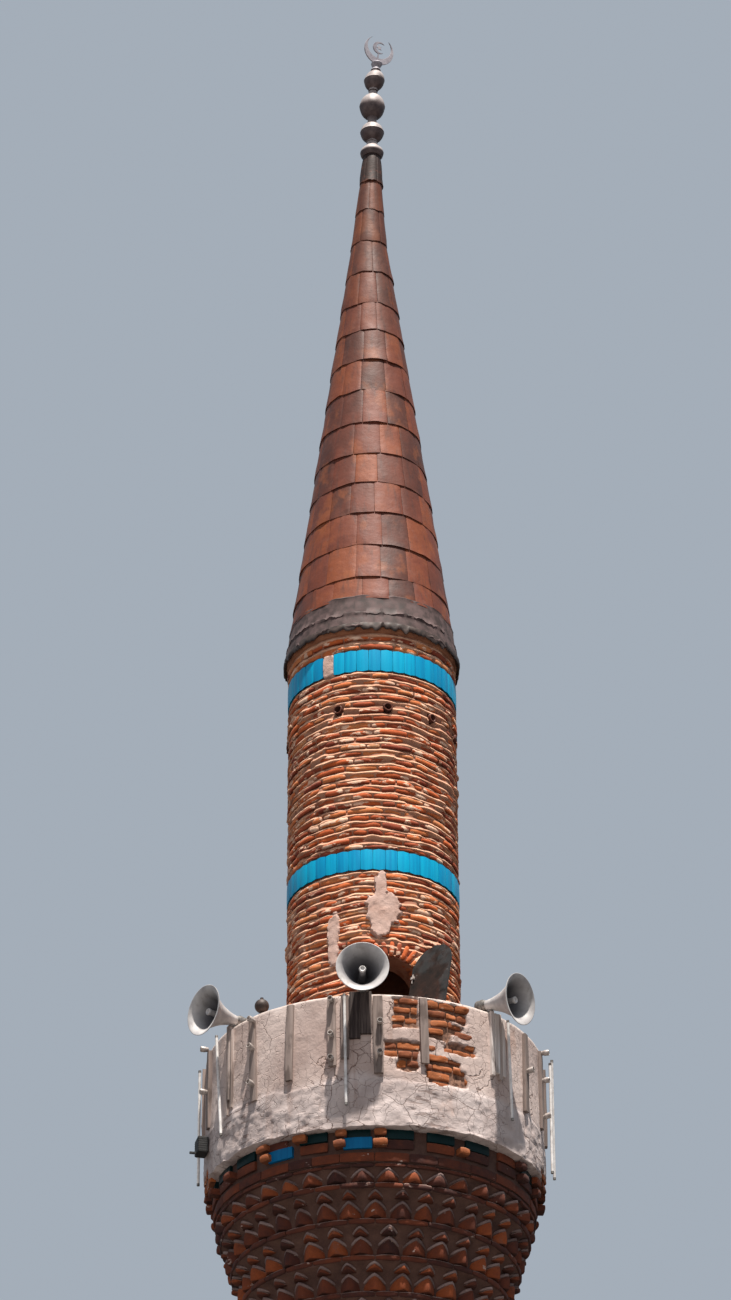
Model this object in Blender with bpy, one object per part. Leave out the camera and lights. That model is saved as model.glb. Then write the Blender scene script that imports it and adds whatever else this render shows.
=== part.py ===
"""Brick minaret with one balcony, glazed tile bands, a sheet-metal spire and a crescent finial.

Metres, +Z up, origin on the ground at the axis. The photographed side faces -Y.
Bearings are in degrees from that side, growing towards +X.
"""

from math import acos, asin, ceil, cos, degrees, pi, radians, sin

import bmesh
import bpy
from mathutils import Matrix, Vector

# Heights of the stages, from the ground up
PLINTH_TOP = 0.35
DOOR_SPRING = 2.05
PEDESTAL_TOP = 4.20
CORNICE_TOP = 4.55
TRANSITION_TOP = 6.10
BASE_RING_TOP = 6.38
SHAFT_TOP = 16.10
TIER_HEIGHT = 0.2975
BAND_FOOT = 17.45
BAND_TOP = 17.54
COURSE_TOP = 17.75
FLOOR_TOP = 18.00
PARAPET_TOP = 19.02
ARCH_SPRING = 19.48
DOOR_STAGE_TOP = 20.25
BRICK_TOP = 23.15
EAVES_TOP = 23.205
HEM_TOP = 23.58
SHELL_TOP = 28.14
SPIRE_TOP = 29.28

# Plan sizes of the lower stages
PLINTH_SIDE = 3.30
PEDESTAL_SIDE = 3.00
PEDESTAL_WALL = 0.75
CORNICE_SIDE = 3.24
TRANSITION_SIDE = 2.88
TRANSITION_RADIUS = 1.16
SHAFT_FOOT_RADIUS = 1.00
SHAFT_HEAD_RADIUS = 0.95
WELL_RADIUS = 0.62
FOOT_DOOR_WIDTH = 0.80

# Corbelled tiers, lowest first: number of brick noses and the radius that the lower noses reach.
# The upper noses and the band over them step out further. The top tier has lower noses only.
TIERS = ((30, 1.03), (30, 1.12), (32, 1.215), (36, 1.31), (38, 1.42))
NOSE_DEPTH = 0.075
LOWER_NOSE_HEIGHT = 0.115
UPPER_NOSE_HEIGHT = 0.10
UPPER_NOSE_STEP = 0.065
BAND_STEP = 0.08
TOP_BAND_STEP = 0.012

# Balcony. The bays start at the bearing of one brick pier
BAND_RADIUS = 1.44
PANEL_RADIUS = 1.455
PIER_RADIUS = 1.505
BAY_START = 1.0
BAY = 15.0
PIER_ANGLE = 5.0
PIER_SPLAY = 0.15
PARAPET_RADIUS = 1.535
PARAPET_WALL = 0.135
HATCH_RADIUS = 0.28
HATCH_SHIFT = 0.16

# Upper shaft and its doorway
UPPER_RADIUS = 0.80
UPPER_WELL_RADIUS = 0.52
DOOR_BEARING = 12.0
DOOR_WIDTH = 0.54
DOOR_STAGE_HALF = 45.0

# Door leaf, off its hinges and leaning on the wall beside the doorway
LEAF_FOOT = (0.1329, -0.9759)
LEAF_BEARING = 49.0
LEAF_LEAN = 12.1
LEAF_WIDTH = 0.46
LEAF_LENGTH = 1.874
LEAF_THICKNESS = 0.012

# Glazed tile bands: lowest and highest level, and the bearings where tiles have fallen
LOWER_BAND = (20.63, 20.85)
UPPER_BAND = (22.73, 22.97)
BAND_GAP = (-35.0, -26.5)
TILE_PROUD = 0.004
GROOVE_DEPTH = 0.022

# Eaves and spire
EAVES_RADIUS = 0.835
SPIRE_RADIUS = 0.78
SPIRE_SLOPE = 0.131
SPIRE_WALL = 0.055

# Timber laths on the parapet, one over each brick pier
LATH_WIDTH = 0.068
LATH_PROUD = 0.028
LATH_SPAN = (18.22, 18.99)
BAYS_WITHOUT_LATH = (2, 3, 12, 20)

# Loudspeaker horns: name, bearing of the seat, bearing that the mouth faces, level of the axis
# at the seat, and angle that the axis drops by
HORNS = (
    ("front", -3.7, 0.0, 19.128, 0.0),
    ("right", 42.3, 55.0, 19.10, 6.0),
    ("back", 180.0, 180.0, 19.11, 0.0),
    ("left", -55.9, -51.0, 19.092, 0.0),
)
HORN_SEAT_RADIUS = 1.50
HORN_LENGTH = 0.36
HORN_MOUTH = 0.233
HORN_WALL = 0.008
DRIVER_RADIUS = 0.055
DRIVER_LENGTH = 0.11
POST_FOOT = 18.15

SPOTLIGHT_BEARING = -44.0
SPOTLIGHT_RADIUS = 0.065
FLOODLIGHT_BEARING = -76.0
FLOODLIGHT_LEVEL = 18.06

# Finial
NECK_RADIUS = 0.052
BELL_TOP = 29.49
LOWER_GLOBE_TOP = 29.72
MIDDLE_GLOBE_TOP = 30.13
UPPER_GLOBE_TOP = 30.40
COLLAR_TOP = 30.50
GLOBE_RADII = (0.119, 0.129, 0.104)
CRESCENT_TURN = 32.0
CRESCENT_RADIUS = 0.175
CRESCENT_INNER_RADIUS = 0.142
CRESCENT_SHIFT = 0.042
CRESCENT_THICKNESS = 0.014
SMALL_RADIUS = 0.075
SMALL_INNER_RADIUS = 0.060
SMALL_SHIFT = 0.024
SMALL_LIFT = 0.035
STAR_RADIUS = 0.037
STAR_WAIST = 0.016

# The bent rod of the finial: level, and how far the axis has gone towards +X there
ROD_BEND = (
    (28.14, 0.0),
    (28.62, 0.010),
    (29.28, 0.034),
    (29.95, 0.040),
    (30.13, 0.050),
    (30.40, 0.079),
    (31.00, 0.157),
)

GAP = 0.0003
JOINT_ANGLE = 0.04
FACETS = 48
ROUND_FACETS = 16
SMOOTH_BELOW = 35.0

# Base colour, roughness and metallic value of each kind of surface
FINISHES = {
    "brick": ((0.43, 0.16, 0.07), 0.90, 0.0),
    "stone": ((0.47, 0.42, 0.34), 0.85, 0.0),
    "plaster": ((0.50, 0.41, 0.34), 0.92, 0.0),
    "tile": ((0.01, 0.33, 0.55), 0.22, 0.0),
    "sheet": ((0.22, 0.09, 0.06), 0.50, 0.6),
    "lead": ((0.16, 0.12, 0.12), 0.55, 0.5),
    "finial": ((0.45, 0.40, 0.36), 0.45, 0.7),
    "rust": ((0.10, 0.06, 0.04), 0.80, 0.3),
    "horn": ((0.62, 0.62, 0.63), 0.40, 0.2),
    "steel": ((0.30, 0.29, 0.28), 0.60, 0.5),
    "black": ((0.02, 0.02, 0.02), 0.60, 0.0),
}


def clear_scene():
    for item in list(bpy.data.objects):
        bpy.data.objects.remove(item, do_unlink=True)


def place(bearing, radius, height=0.0):
    """The point at a bearing from the photographed side, at a radius from the axis."""
    turn = radians(bearing)
    return Vector((radius * sin(turn), -radius * cos(turn), height))


def finished(name, shape, kind):
    """One object from a bmesh, faces outwards, with a material of its own."""
    bmesh.ops.remove_doubles(shape, verts=shape.verts, dist=1e-6)
    bmesh.ops.recalc_face_normals(shape, faces=shape.faces)
    mesh = bpy.data.meshes.new(name)
    shape.to_mesh(mesh)
    shape.free()
    mesh.shade_smooth()
    mesh.set_sharp_from_angle(angle=radians(SMOOTH_BELOW))
    colour, roughness, metallic = FINISHES[kind]
    material = bpy.data.materials.new(name)
    material.use_nodes = True
    shader = material.node_tree.nodes["Principled BSDF"]
    shader.inputs["Base Color"].default_value = (*colour, 1.0)
    shader.inputs["Roughness"].default_value = roughness
    shader.inputs["Metallic"].default_value = metallic
    mesh.materials.append(material)
    item = bpy.data.objects.new(name, mesh)
    bpy.context.scene.collection.objects.link(item)
    return item


def combine(item, helper, operation):
    """Cuts the helper out of the object, or joins it on, and keeps the helper out of the model."""
    helper.hide_render = True
    helper.display_type = "WIRE"
    modifier = item.modifiers.new(helper.name, "BOOLEAN")
    modifier.operation = operation
    modifier.solver = "EXACT"
    modifier.object = helper


def add_block(shape, low, high, matrix):
    made = bmesh.ops.create_cube(shape, size=1.0)["verts"]
    size = Vector(high) - Vector(low)
    middle = (Vector(high) + Vector(low)) / 2
    for vertex in made:
        vertex.co = Vector(a * b for a, b in zip(vertex.co, size)) + middle
    bmesh.ops.transform(shape, matrix=matrix, verts=made)


def block(name, low, high, kind, matrix=Matrix()):
    """A box between two corners, moved by the matrix."""
    shape = bmesh.new()
    add_block(shape, low, high, matrix)
    return finished(name, shape, kind)


def skinned(shape, rows, closed):
    """Faces between rows of points, each row a closed loop; closed also joins last to first."""
    pairs = list(zip(rows, rows[1:]))
    if closed:
        pairs.append((rows[-1], rows[0]))
    for lower, upper in pairs:
        for k in range(len(lower)):
            after = (k + 1) % len(lower)
            corners = dict.fromkeys((lower[k], lower[after], upper[after], upper[k]))
            shape.faces.new(list(corners))


def turned(name, profile, kind, facets=FACETS, matrix=Matrix()):
    """A turned solid from (radius, height) points.

    A profile that starts and ends on the axis makes a solid; any other is closed into a ring.
    """
    shape = bmesh.new()
    rows = []
    for radius, height in profile:
        if radius == 0.0:
            rows.append([shape.verts.new((0.0, 0.0, height))] * facets)
        else:
            rows.append([shape.verts.new(place(360 * k / facets, radius, height)) for k in range(facets)])
    skinned(shape, rows, closed=profile[0][0] > 0.0)
    bmesh.ops.transform(shape, matrix=matrix, verts=shape.verts)
    return finished(name, shape, kind)


def prism(name, outline, low, high, kind, matrix=Matrix()):
    """A prism on an outline of (x, y) points, moved by the matrix."""
    shape = bmesh.new()
    rows = [[shape.verts.new((x, y, z)) for x, y in outline] for z in (low, high)]
    shape.faces.new(rows[0])
    shape.faces.new(rows[1])
    skinned(shape, rows, closed=False)
    bmesh.ops.transform(shape, matrix=matrix, verts=shape.verts)
    return finished(name, shape, kind)


def on_facet(radius, bearing):
    """The plan point at a bearing on the many-sided outline of a round wall."""
    step = 360 / FACETS
    aside = bearing % step - step / 2
    point = place(bearing, radius * cos(radians(step / 2)) / cos(radians(aside)))
    return (point.x, point.y)


def arc(radius, start, end):
    """Plan points from start to end, with every corner of the round walls between."""
    step = 360 / FACETS
    first = int(start // step) + 1
    last = ceil(end / step) - 1
    bearings = [start] + [k * step for k in range(first, last + 1)] + [end]
    return [on_facet(radius, bearing) for bearing in bearings]


def wall_arc(name, radii, levels, kind, outer_span, inner_span=None):
    """A stretch of round wall. Its ends are radial, or cut square where the two spans differ."""
    inner_span = inner_span or outer_span
    outline = arc(radii[0], *outer_span) + arc(radii[1], *inner_span)[::-1]
    return prism(name, outline, levels[0], levels[1], kind)


def layered_ring(name, layers, inner, count, kind):
    """A ring whose outside is a stack of outlines with the same number of points.

    A layer is (low, high, rule), and the rule gives the bearing and radius of point k.
    """
    shape = bmesh.new()
    rows = []
    for low, high, rule in layers:
        for height in (low, high):
            rows.append([shape.verts.new(place(*rule(k), height)) for k in range(count)])
    rule = layers[0][2]
    for height in (layers[-1][1], layers[0][0]):
        rows.append([shape.verts.new(place(rule(k)[0], inner, height)) for k in range(count)])
    skinned(shape, rows, closed=True)
    return finished(name, shape, kind)


def round_cutter(name, radius, middle, bearing, length):
    """A horizontal cylinder through a wall, for a round arch."""
    ends = (-length / 2, length / 2)
    profile = [(0.0, ends[0]), (radius, ends[0]), (radius, ends[1]), (0.0, ends[1])]
    lie_down = Matrix.Rotation(radians(bearing), 4, "Z") @ Matrix.Rotation(pi / 2, 4, "X")
    return turned(name, profile, "stone", 2 * ROUND_FACETS, Matrix.Translation(middle) @ lie_down)


def well_cutter(name, radius, low, high, middle=Vector()):
    """An upright cylinder that runs past both levels."""
    margin = 0.1
    profile = [(0.0, low - margin), (radius, low - margin), (radius, high + margin), (0.0, high + margin)]
    return turned(name, profile, "stone", FACETS, Matrix.Translation(middle))


def pedestal():
    """Square stone base with an arched doorway. Its hollow is square too."""
    half = PEDESTAL_SIDE / 2
    inner = half - PEDESTAL_WALL
    low = PLINTH_TOP + GAP
    high = PEDESTAL_TOP - GAP
    edge = PLINTH_SIDE / 2
    door = FOOT_DOOR_WIDTH / 2
    front = -inner - GAP
    block("plinth", (-edge, -edge, 0.0), (edge, edge, PLINTH_TOP), "stone")
    block("pedestal_back_wall", (-half, inner + GAP, low), (half, half, high), "stone")
    block("pedestal_left_wall", (-half, -inner, low), (-inner, inner, high), "stone")
    block("pedestal_right_wall", (inner, -inner, low), (half, inner, high), "stone")
    block("pedestal_front_left_pier", (-half, -half, low), (-door, front, DOOR_SPRING), "stone")
    block("pedestal_front_right_pier", (door, -half, low), (half, front, DOOR_SPRING), "stone")
    arch = block("pedestal_door_arch", (-half, -half, DOOR_SPRING + GAP), (half, front, high), "stone")
    middle = Vector((0.0, -half, DOOR_SPRING))
    combine(arch, round_cutter("foot_door_cutter", door, middle, 0.0, 4 * PEDESTAL_WALL), "DIFFERENCE")


def pedestal_cornice():
    """A square moulding that steps out and back, with the round well through it."""
    half = PEDESTAL_SIDE / 2
    wide = CORNICE_SIDE / 2
    top = TRANSITION_SIDE / 2
    levels = ((half, PEDESTAL_TOP), (half, 4.26), (wide, 4.36), (wide, 4.48), (top, CORNICE_TOP))
    corners = ((-1, -1), (1, -1), (1, 1), (-1, 1))
    shape = bmesh.new()
    rows = [[shape.verts.new((x * side, y * side, z)) for x, y in corners] for side, z in levels]
    shape.faces.new(rows[0])
    shape.faces.new(rows[-1])
    skinned(shape, rows, closed=False)
    cornice = finished("pedestal_cornice", shape, "stone")
    combine(cornice, well_cutter("cornice_well", WELL_RADIUS, PEDESTAL_TOP, CORNICE_TOP), "DIFFERENCE")


def transition():
    """Flat triangles that lead from the square below to the round shaft above."""
    half = TRANSITION_SIDE / 2
    shape = bmesh.new()
    for x, y in ((-1, -1), (1, -1), (1, 1), (-1, 1)):
        shape.verts.new((x * half, y * half, CORNICE_TOP + GAP))
    for k in range(ROUND_FACETS):
        bearing = 360 * (k + 0.5) / ROUND_FACETS
        shape.verts.new(place(bearing, TRANSITION_RADIUS, TRANSITION_TOP))
    bmesh.ops.convex_hull(shape, input=shape.verts)
    stage = finished("transition", shape, "stone")
    combine(stage, well_cutter("transition_well", WELL_RADIUS, CORNICE_TOP, TRANSITION_TOP), "DIFFERENCE")


def lower_shaft():
    """A stone ring moulding and the long, slightly tapered brick shaft."""
    low = TRANSITION_TOP + GAP
    fillet = SHAFT_FOOT_RADIUS + 0.05
    profile = [
        (WELL_RADIUS, low),
        (fillet + 0.02, low),
        (fillet + 0.09, low + 0.07),
        (fillet + 0.09, low + 0.15),
        (fillet, low + 0.21),
        (fillet, BASE_RING_TOP),
        (WELL_RADIUS, BASE_RING_TOP),
    ]
    turned("shaft_base_ring", profile, "stone")
    low = BASE_RING_TOP + GAP
    profile = [
        (WELL_RADIUS, low),
        (SHAFT_FOOT_RADIUS, low),
        (SHAFT_HEAD_RADIUS, SHAFT_TOP),
        (WELL_RADIUS, SHAFT_TOP),
    ]
    turned("shaft", profile, "brick")


def corbel_tier(number, noses, reach):
    """A ring with two courses of pointed brick noses under a plain oversailing band.

    Noses of one tier stand over the hollows of the tier below.
    """
    low = SHAFT_TOP + (number - 1) * TIER_HEIGHT + GAP
    step = low + LOWER_NOSE_HEIGHT
    points = 2 * noses

    def nose(k):
        return 360 * (k + number % 2) / points, reach - NOSE_DEPTH * (k % 2)

    def upper_nose(k):
        return nose(k)[0], nose(k)[1] + UPPER_NOSE_STEP

    def band(k):
        return nose(k)[0], reach + BAND_STEP

    def top_band(k):
        return nose(k)[0], reach + TOP_BAND_STEP

    if number == len(TIERS):
        layers = ((low, step, nose), (step, BAND_FOOT, top_band))
    else:
        ledge = step + UPPER_NOSE_HEIGHT
        high = SHAFT_TOP + number * TIER_HEIGHT
        layers = ((low, step, nose), (step, ledge, upper_nose), (ledge, high, band))
    layered_ring(f"corbel_tier_{number}", layers, WELL_RADIUS, points, "brick")


def balcony_cornice():
    """A plain band, and above it brick piers with recessed tile panels between them."""
    low = BAND_FOOT + GAP
    profile = [(WELL_RADIUS, low), (BAND_RADIUS, low), (BAND_RADIUS, BAND_TOP), (WELL_RADIUS, BAND_TOP)]
    turned("cornice_band", profile, "brick")
    corners = (
        (-PIER_ANGLE / 2, PIER_RADIUS),
        (PIER_ANGLE / 2, PIER_RADIUS),
        (PIER_ANGLE / 2 + PIER_SPLAY, PANEL_RADIUS),
        (BAY - PIER_ANGLE / 2 - PIER_SPLAY, PANEL_RADIUS),
    )

    def outline(k):
        aside, radius = corners[k % 4]
        return BAY_START + BAY * (k // 4) + aside, radius

    count = 4 * round(360 / BAY)
    layers = ((BAND_TOP + GAP, COURSE_TOP, outline),)
    layered_ring("cornice_course", layers, WELL_RADIUS, count, "brick")


def balcony_floor():
    """The slab of the balcony, with the stair hatch away from the doorway."""
    radius = PARAPET_RADIUS - PARAPET_WALL - GAP
    low = COURSE_TOP + GAP
    profile = [(0.0, low), (radius, low), (radius, FLOOR_TOP), (0.0, FLOOR_TOP)]
    floor = turned("balcony_floor", profile, "stone")
    middle = place(DOOR_BEARING + 180, HATCH_SHIFT)
    combine(floor, well_cutter("hatch", HATCH_RADIUS, COURSE_TOP, FLOOR_TOP, middle), "DIFFERENCE")


def parapet():
    """The plastered parapet, with the timber laths that are fixed to its outside."""
    low = COURSE_TOP + GAP
    inner = PARAPET_RADIUS - PARAPET_WALL
    profile = [(inner, low), (PARAPET_RADIUS, low), (PARAPET_RADIUS, PARAPET_TOP), (inner, PARAPET_TOP)]
    wall = turned("parapet", profile, "plaster")
    bite = 0.012
    shape = bmesh.new()
    for bay in range(round(360 / BAY)):
        if bay in BAYS_WITHOUT_LATH:
            continue
        corner_low = (-LATH_WIDTH / 2, -PARAPET_RADIUS - LATH_PROUD, LATH_SPAN[0])
        corner_high = (LATH_WIDTH / 2, -PARAPET_RADIUS + bite, LATH_SPAN[1])
        turn = Matrix.Rotation(radians(BAY_START + BAY * bay), 4, "Z")
        add_block(shape, corner_low, corner_high, turn)
    combine(wall, finished("laths", shape, "plaster"), "UNION")


def door_stage():
    """The foot of the upper shaft: a wall round the back, two jambs and the arch over the doorway."""
    radii = (UPPER_RADIUS, UPPER_WELL_RADIUS)
    half = DOOR_STAGE_HALF - JOINT_ANGLE
    jamb = [degrees(asin(DOOR_WIDTH / 2 / radius)) for radius in radii]
    low = FLOOR_TOP + GAP
    side = (low, ARCH_SPRING)
    around = (DOOR_BEARING + DOOR_STAGE_HALF, DOOR_BEARING + 360 - DOOR_STAGE_HALF)
    wall_arc("door_stage_back_wall", radii, (low, DOOR_STAGE_TOP), "brick", around)
    right = [(DOOR_BEARING + aside, DOOR_BEARING + half) for aside in jamb]
    left = [(DOOR_BEARING - half, DOOR_BEARING - aside) for aside in jamb]
    wall_arc("door_right_jamb", radii, side, "brick", *right)
    wall_arc("door_left_jamb", radii, side, "brick", *left)
    over = (DOOR_BEARING - half, DOOR_BEARING + half)
    arch = wall_arc("door_arch", radii, (ARCH_SPRING + GAP, DOOR_STAGE_TOP), "brick", over)
    middle = place(DOOR_BEARING, UPPER_RADIUS, ARCH_SPRING)
    cutter = round_cutter("door_cutter", DOOR_WIDTH / 2, middle, DOOR_BEARING, 2 * UPPER_WELL_RADIUS)
    combine(arch, cutter, "DIFFERENCE")


def door_leaf():
    """The round-topped sheet-metal leaf, standing on the floor and leaning back on the wall."""
    radius = LEAF_WIDTH / 2
    spring = LEAF_LENGTH - radius
    steps = ROUND_FACETS // 2
    outline = [(0.0, 0.0), (LEAF_WIDTH, 0.0)]
    for k in range(steps + 1):
        angle = pi * k / steps
        outline.append((radius + radius * cos(angle), spring + radius * sin(angle)))
    foot = Matrix.Translation((*LEAF_FOOT, FLOOR_TOP + GAP))
    turn = Matrix.Rotation(radians(LEAF_BEARING - 90), 4, "Z")
    stand = Matrix.Rotation(pi / 2 - radians(LEAF_LEAN), 4, "X")
    prism("balcony_door_leaf", outline, 0.0, LEAF_THICKNESS, "rust", foot @ turn @ stand)


def upper_shaft():
    """The round shaft above the doorway, grooved for the two tile bands, and the bands in it."""
    floor = UPPER_RADIUS - GROOVE_DEPTH
    profile = [(UPPER_WELL_RADIUS, DOOR_STAGE_TOP + GAP), (UPPER_RADIUS, DOOR_STAGE_TOP + GAP)]
    for low, high in (LOWER_BAND, UPPER_BAND):
        profile += [(UPPER_RADIUS, low), (floor, low), (floor, high), (UPPER_RADIUS, high)]
    profile += [(UPPER_RADIUS, BRICK_TOP), (UPPER_WELL_RADIUS, BRICK_TOP)]
    turned("upper_shaft", profile, "brick")
    radii = (UPPER_RADIUS + TILE_PROUD, floor + GAP)
    low, high = LOWER_BAND[0] + GAP, LOWER_BAND[1] - GAP
    ring = [(radii[1], low), (radii[0], low), (radii[0], high), (radii[1], high)]
    turned("lower_tile_band", ring, "tile")
    levels = (UPPER_BAND[0] + GAP, UPPER_BAND[1] - GAP)
    wall_arc("upper_tile_band", radii, levels, "tile", (BAND_GAP[1], BAND_GAP[0] + 360))


def spire_radius(height):
    return SPIRE_RADIUS - SPIRE_SLOPE * (height - HEM_TOP)


def spire():
    """Eaves cove, the flared lowest course of sheets, the hollow cone and its solid tip."""
    low = BRICK_TOP + GAP
    cove = [
        (UPPER_WELL_RADIUS, low),
        (UPPER_RADIUS, low),
        (UPPER_RADIUS + 0.006, low + 0.025),
        (UPPER_RADIUS + 0.020, EAVES_TOP),
        (UPPER_WELL_RADIUS, EAVES_TOP),
    ]
    turned("eaves_cove", cove, "stone")
    low = EAVES_TOP + GAP
    hem = [
        (SPIRE_RADIUS - SPIRE_WALL, low),
        (EAVES_RADIUS, low),
        (EAVES_RADIUS - 0.004, low + 0.04),
        (EAVES_RADIUS - 0.035, low + 0.13),
        (SPIRE_RADIUS, HEM_TOP),
        (SPIRE_RADIUS - SPIRE_WALL, HEM_TOP),
    ]
    turned("cone_hem", hem, "lead")
    low = HEM_TOP + GAP
    top_radius = spire_radius(SHELL_TOP)
    shell = [
        (SPIRE_RADIUS - SPIRE_WALL, low),
        (SPIRE_RADIUS, low),
        (top_radius, SHELL_TOP),
        (top_radius - SPIRE_WALL, SHELL_TOP),
    ]
    turned("cone_shell", shell, "sheet")
    low = SHELL_TOP + GAP
    tip = [(0.0, low), (top_radius, low), (0.143, 28.62), (0.118, 28.91), (0.107, 29.16)]
    tip += [(0.092, SPIRE_TOP), (0.0, SPIRE_TOP)]
    bent(turned("cone_tip", tip, "sheet", ROUND_FACETS + ROUND_FACETS // 2))


def bent(item):
    """Leans an object with the bent rod of the finial, level by level."""
    for vertex in item.data.vertices:
        height = vertex.co.z
        for (low, start), (high, end) in zip(ROD_BEND, ROD_BEND[1:]):
            if low <= height < high:
                vertex.co.x += start + (end - start) * (height - low) / (high - low)
                break
    return item


def globe(name, low, high, radius):
    """A round ball between two necks."""
    middle = (low + high) / 2
    reach = (high - low) / 2
    turn = acos(NECK_RADIUS / radius)
    steps = 6
    angles = [-turn + 2 * turn * k / steps for k in range(steps + 1)]
    round_part = [(radius * cos(a), middle + reach * sin(a) / sin(turn)) for a in angles]
    bent(turned(name, [(0.0, low)] + round_part + [(0.0, high)], "finial", ROUND_FACETS))


def crescent_outline(radius, middle, inner_radius, shift, opening):
    """A crescent between two arcs. Its opening points along the given angle."""
    along = (radius**2 - inner_radius**2 + shift**2) / (2 * shift)
    outer_half = pi - acos(along / radius)
    inner_half = pi - acos((along - shift) / inner_radius)
    back = radians(opening) + pi
    steps = 14
    outer = [back - outer_half + 2 * outer_half * k / steps for k in range(steps + 1)]
    inner = [back + inner_half - 2 * inner_half * k / steps for k in range(1, steps)]
    x, y = middle
    inner_x = x + shift * cos(radians(opening))
    inner_y = y + shift * sin(radians(opening))
    points = [(x + radius * cos(a), y + radius * sin(a)) for a in outer]
    return points + [(inner_x + inner_radius * cos(a), inner_y + inner_radius * sin(a)) for a in inner]


def finial():
    """A bell-shaped foot, three globes, and a crescent that holds a smaller one with a star."""
    low = SPIRE_TOP + GAP
    bell = [
        (0.0, low),
        (0.095, low),
        (0.118, low + 0.05),
        (0.112, low + 0.085),
        (0.072, low + 0.13),
        (NECK_RADIUS, low + 0.18),
        (NECK_RADIUS, BELL_TOP),
        (0.0, BELL_TOP),
    ]
    bent(turned("finial_base_bell", bell, "finial", ROUND_FACETS))
    globe("finial_lower_globe", BELL_TOP + GAP, LOWER_GLOBE_TOP, GLOBE_RADII[0])
    globe("finial_middle_globe", LOWER_GLOBE_TOP + GAP, MIDDLE_GLOBE_TOP, GLOBE_RADII[1])
    globe("finial_upper_globe", MIDDLE_GLOBE_TOP + GAP, UPPER_GLOBE_TOP, GLOBE_RADII[2])
    low = UPPER_GLOBE_TOP + GAP
    collar = [
        (0.0, low),
        (NECK_RADIUS, low),
        (0.034, low + 0.035),
        (0.058, COLLAR_TOP - 0.02),
        (0.058, COLLAR_TOP - 0.008),
        (0.040, COLLAR_TOP),
        (0.0, COLLAR_TOP),
    ]
    crescent = bent(turned("finial_crescent", collar, "finial", ROUND_FACETS))
    upright = Matrix.Rotation(radians(CRESCENT_TURN), 4, "Z") @ Matrix.Rotation(pi / 2, 4, "X")
    middle = COLLAR_TOP - 0.014 + CRESCENT_RADIUS
    foot = middle + CRESCENT_SHIFT - CRESCENT_INNER_RADIUS - 0.01
    heart = middle + SMALL_LIFT
    neck = heart - SMALL_RADIUS + 0.01
    star = []
    for k in range(10):
        reach = STAR_RADIUS if k % 2 == 0 else STAR_WAIST
        star.append((reach * cos(pi + pi * k / 5), heart + reach * sin(pi + pi * k / 5)))
    large = crescent_outline(CRESCENT_RADIUS, (0.0, middle), CRESCENT_INNER_RADIUS, CRESCENT_SHIFT, 90.0)
    small = crescent_outline(SMALL_RADIUS, (0.0, heart), SMALL_INNER_RADIUS, SMALL_SHIFT, 0.0)
    plates = (
        ("crescent", large),
        ("small_crescent", small),
        ("crescent_stem", [(-0.008, foot), (0.008, foot), (0.008, neck), (-0.008, neck)]),
        ("star", star),
    )
    half = CRESCENT_THICKNESS / 2
    for name, outline in plates:
        combine(crescent, bent(prism(name, outline, -half, half, "finial", upright)), "UNION")
        half -= 0.001


def horn(name, seat_bearing, mouth_bearing, level, drop):
    """A flared loudspeaker horn with its inner cone, on a driver strapped over the parapet."""
    seat = place(seat_bearing, HORN_SEAT_RADIUS, level)
    aim = Matrix.Rotation(radians(mouth_bearing), 4, "Z") @ Matrix.Rotation(pi / 2 + radians(drop), 4, "X")
    matrix = Matrix.Translation(seat) @ aim
    flare = ((0.045, 0.0), (0.062, 0.10), (0.095, 0.19), (0.145, 0.27), (0.195, 0.325))
    mouth = [(HORN_MOUTH, HORN_LENGTH - HORN_WALL / 2), (HORN_MOUTH, HORN_LENGTH)]
    inside = [(radius - HORN_WALL, depth + HORN_WALL / 2) for radius, depth in flare[:0:-1]]
    bullet = [(0.040, 0.09), (0.024, 0.27), (0.031, 0.29), (0.030, 0.305), (0.0, 0.313)]
    turned(f"horn_{name}", [(0.0, 0.0), *flare, *mouth, *inside, *bullet], "horn", ROUND_FACETS, matrix)

    driver = [(0.0, -DRIVER_LENGTH), (DRIVER_RADIUS, -DRIVER_LENGTH), (DRIVER_RADIUS, -GAP), (0.0, -GAP)]
    mount = turned(f"horn_{name}_mount", driver, "steel", ROUND_FACETS, matrix)
    turn = Matrix.Rotation(radians(seat_bearing), 4, "Z")
    face = -(PARAPET_RADIUS + GAP)
    top = PARAPET_TOP + GAP
    blocks = (
        ("saddle", (-0.03, -1.475, top + 0.004), (0.03, -1.42, level - 0.03)),
        ("strap", (-0.02, face - 0.030, top), (0.02, -1.41, top + 0.013)),
        ("post", (-0.035, face - 0.036, POST_FOOT), (0.035, face, top + 0.009)),
    )
    for part, low, high in blocks:
        combine(mount, block(f"{part}_{name}", low, high, "steel", turn), "UNION")


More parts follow.
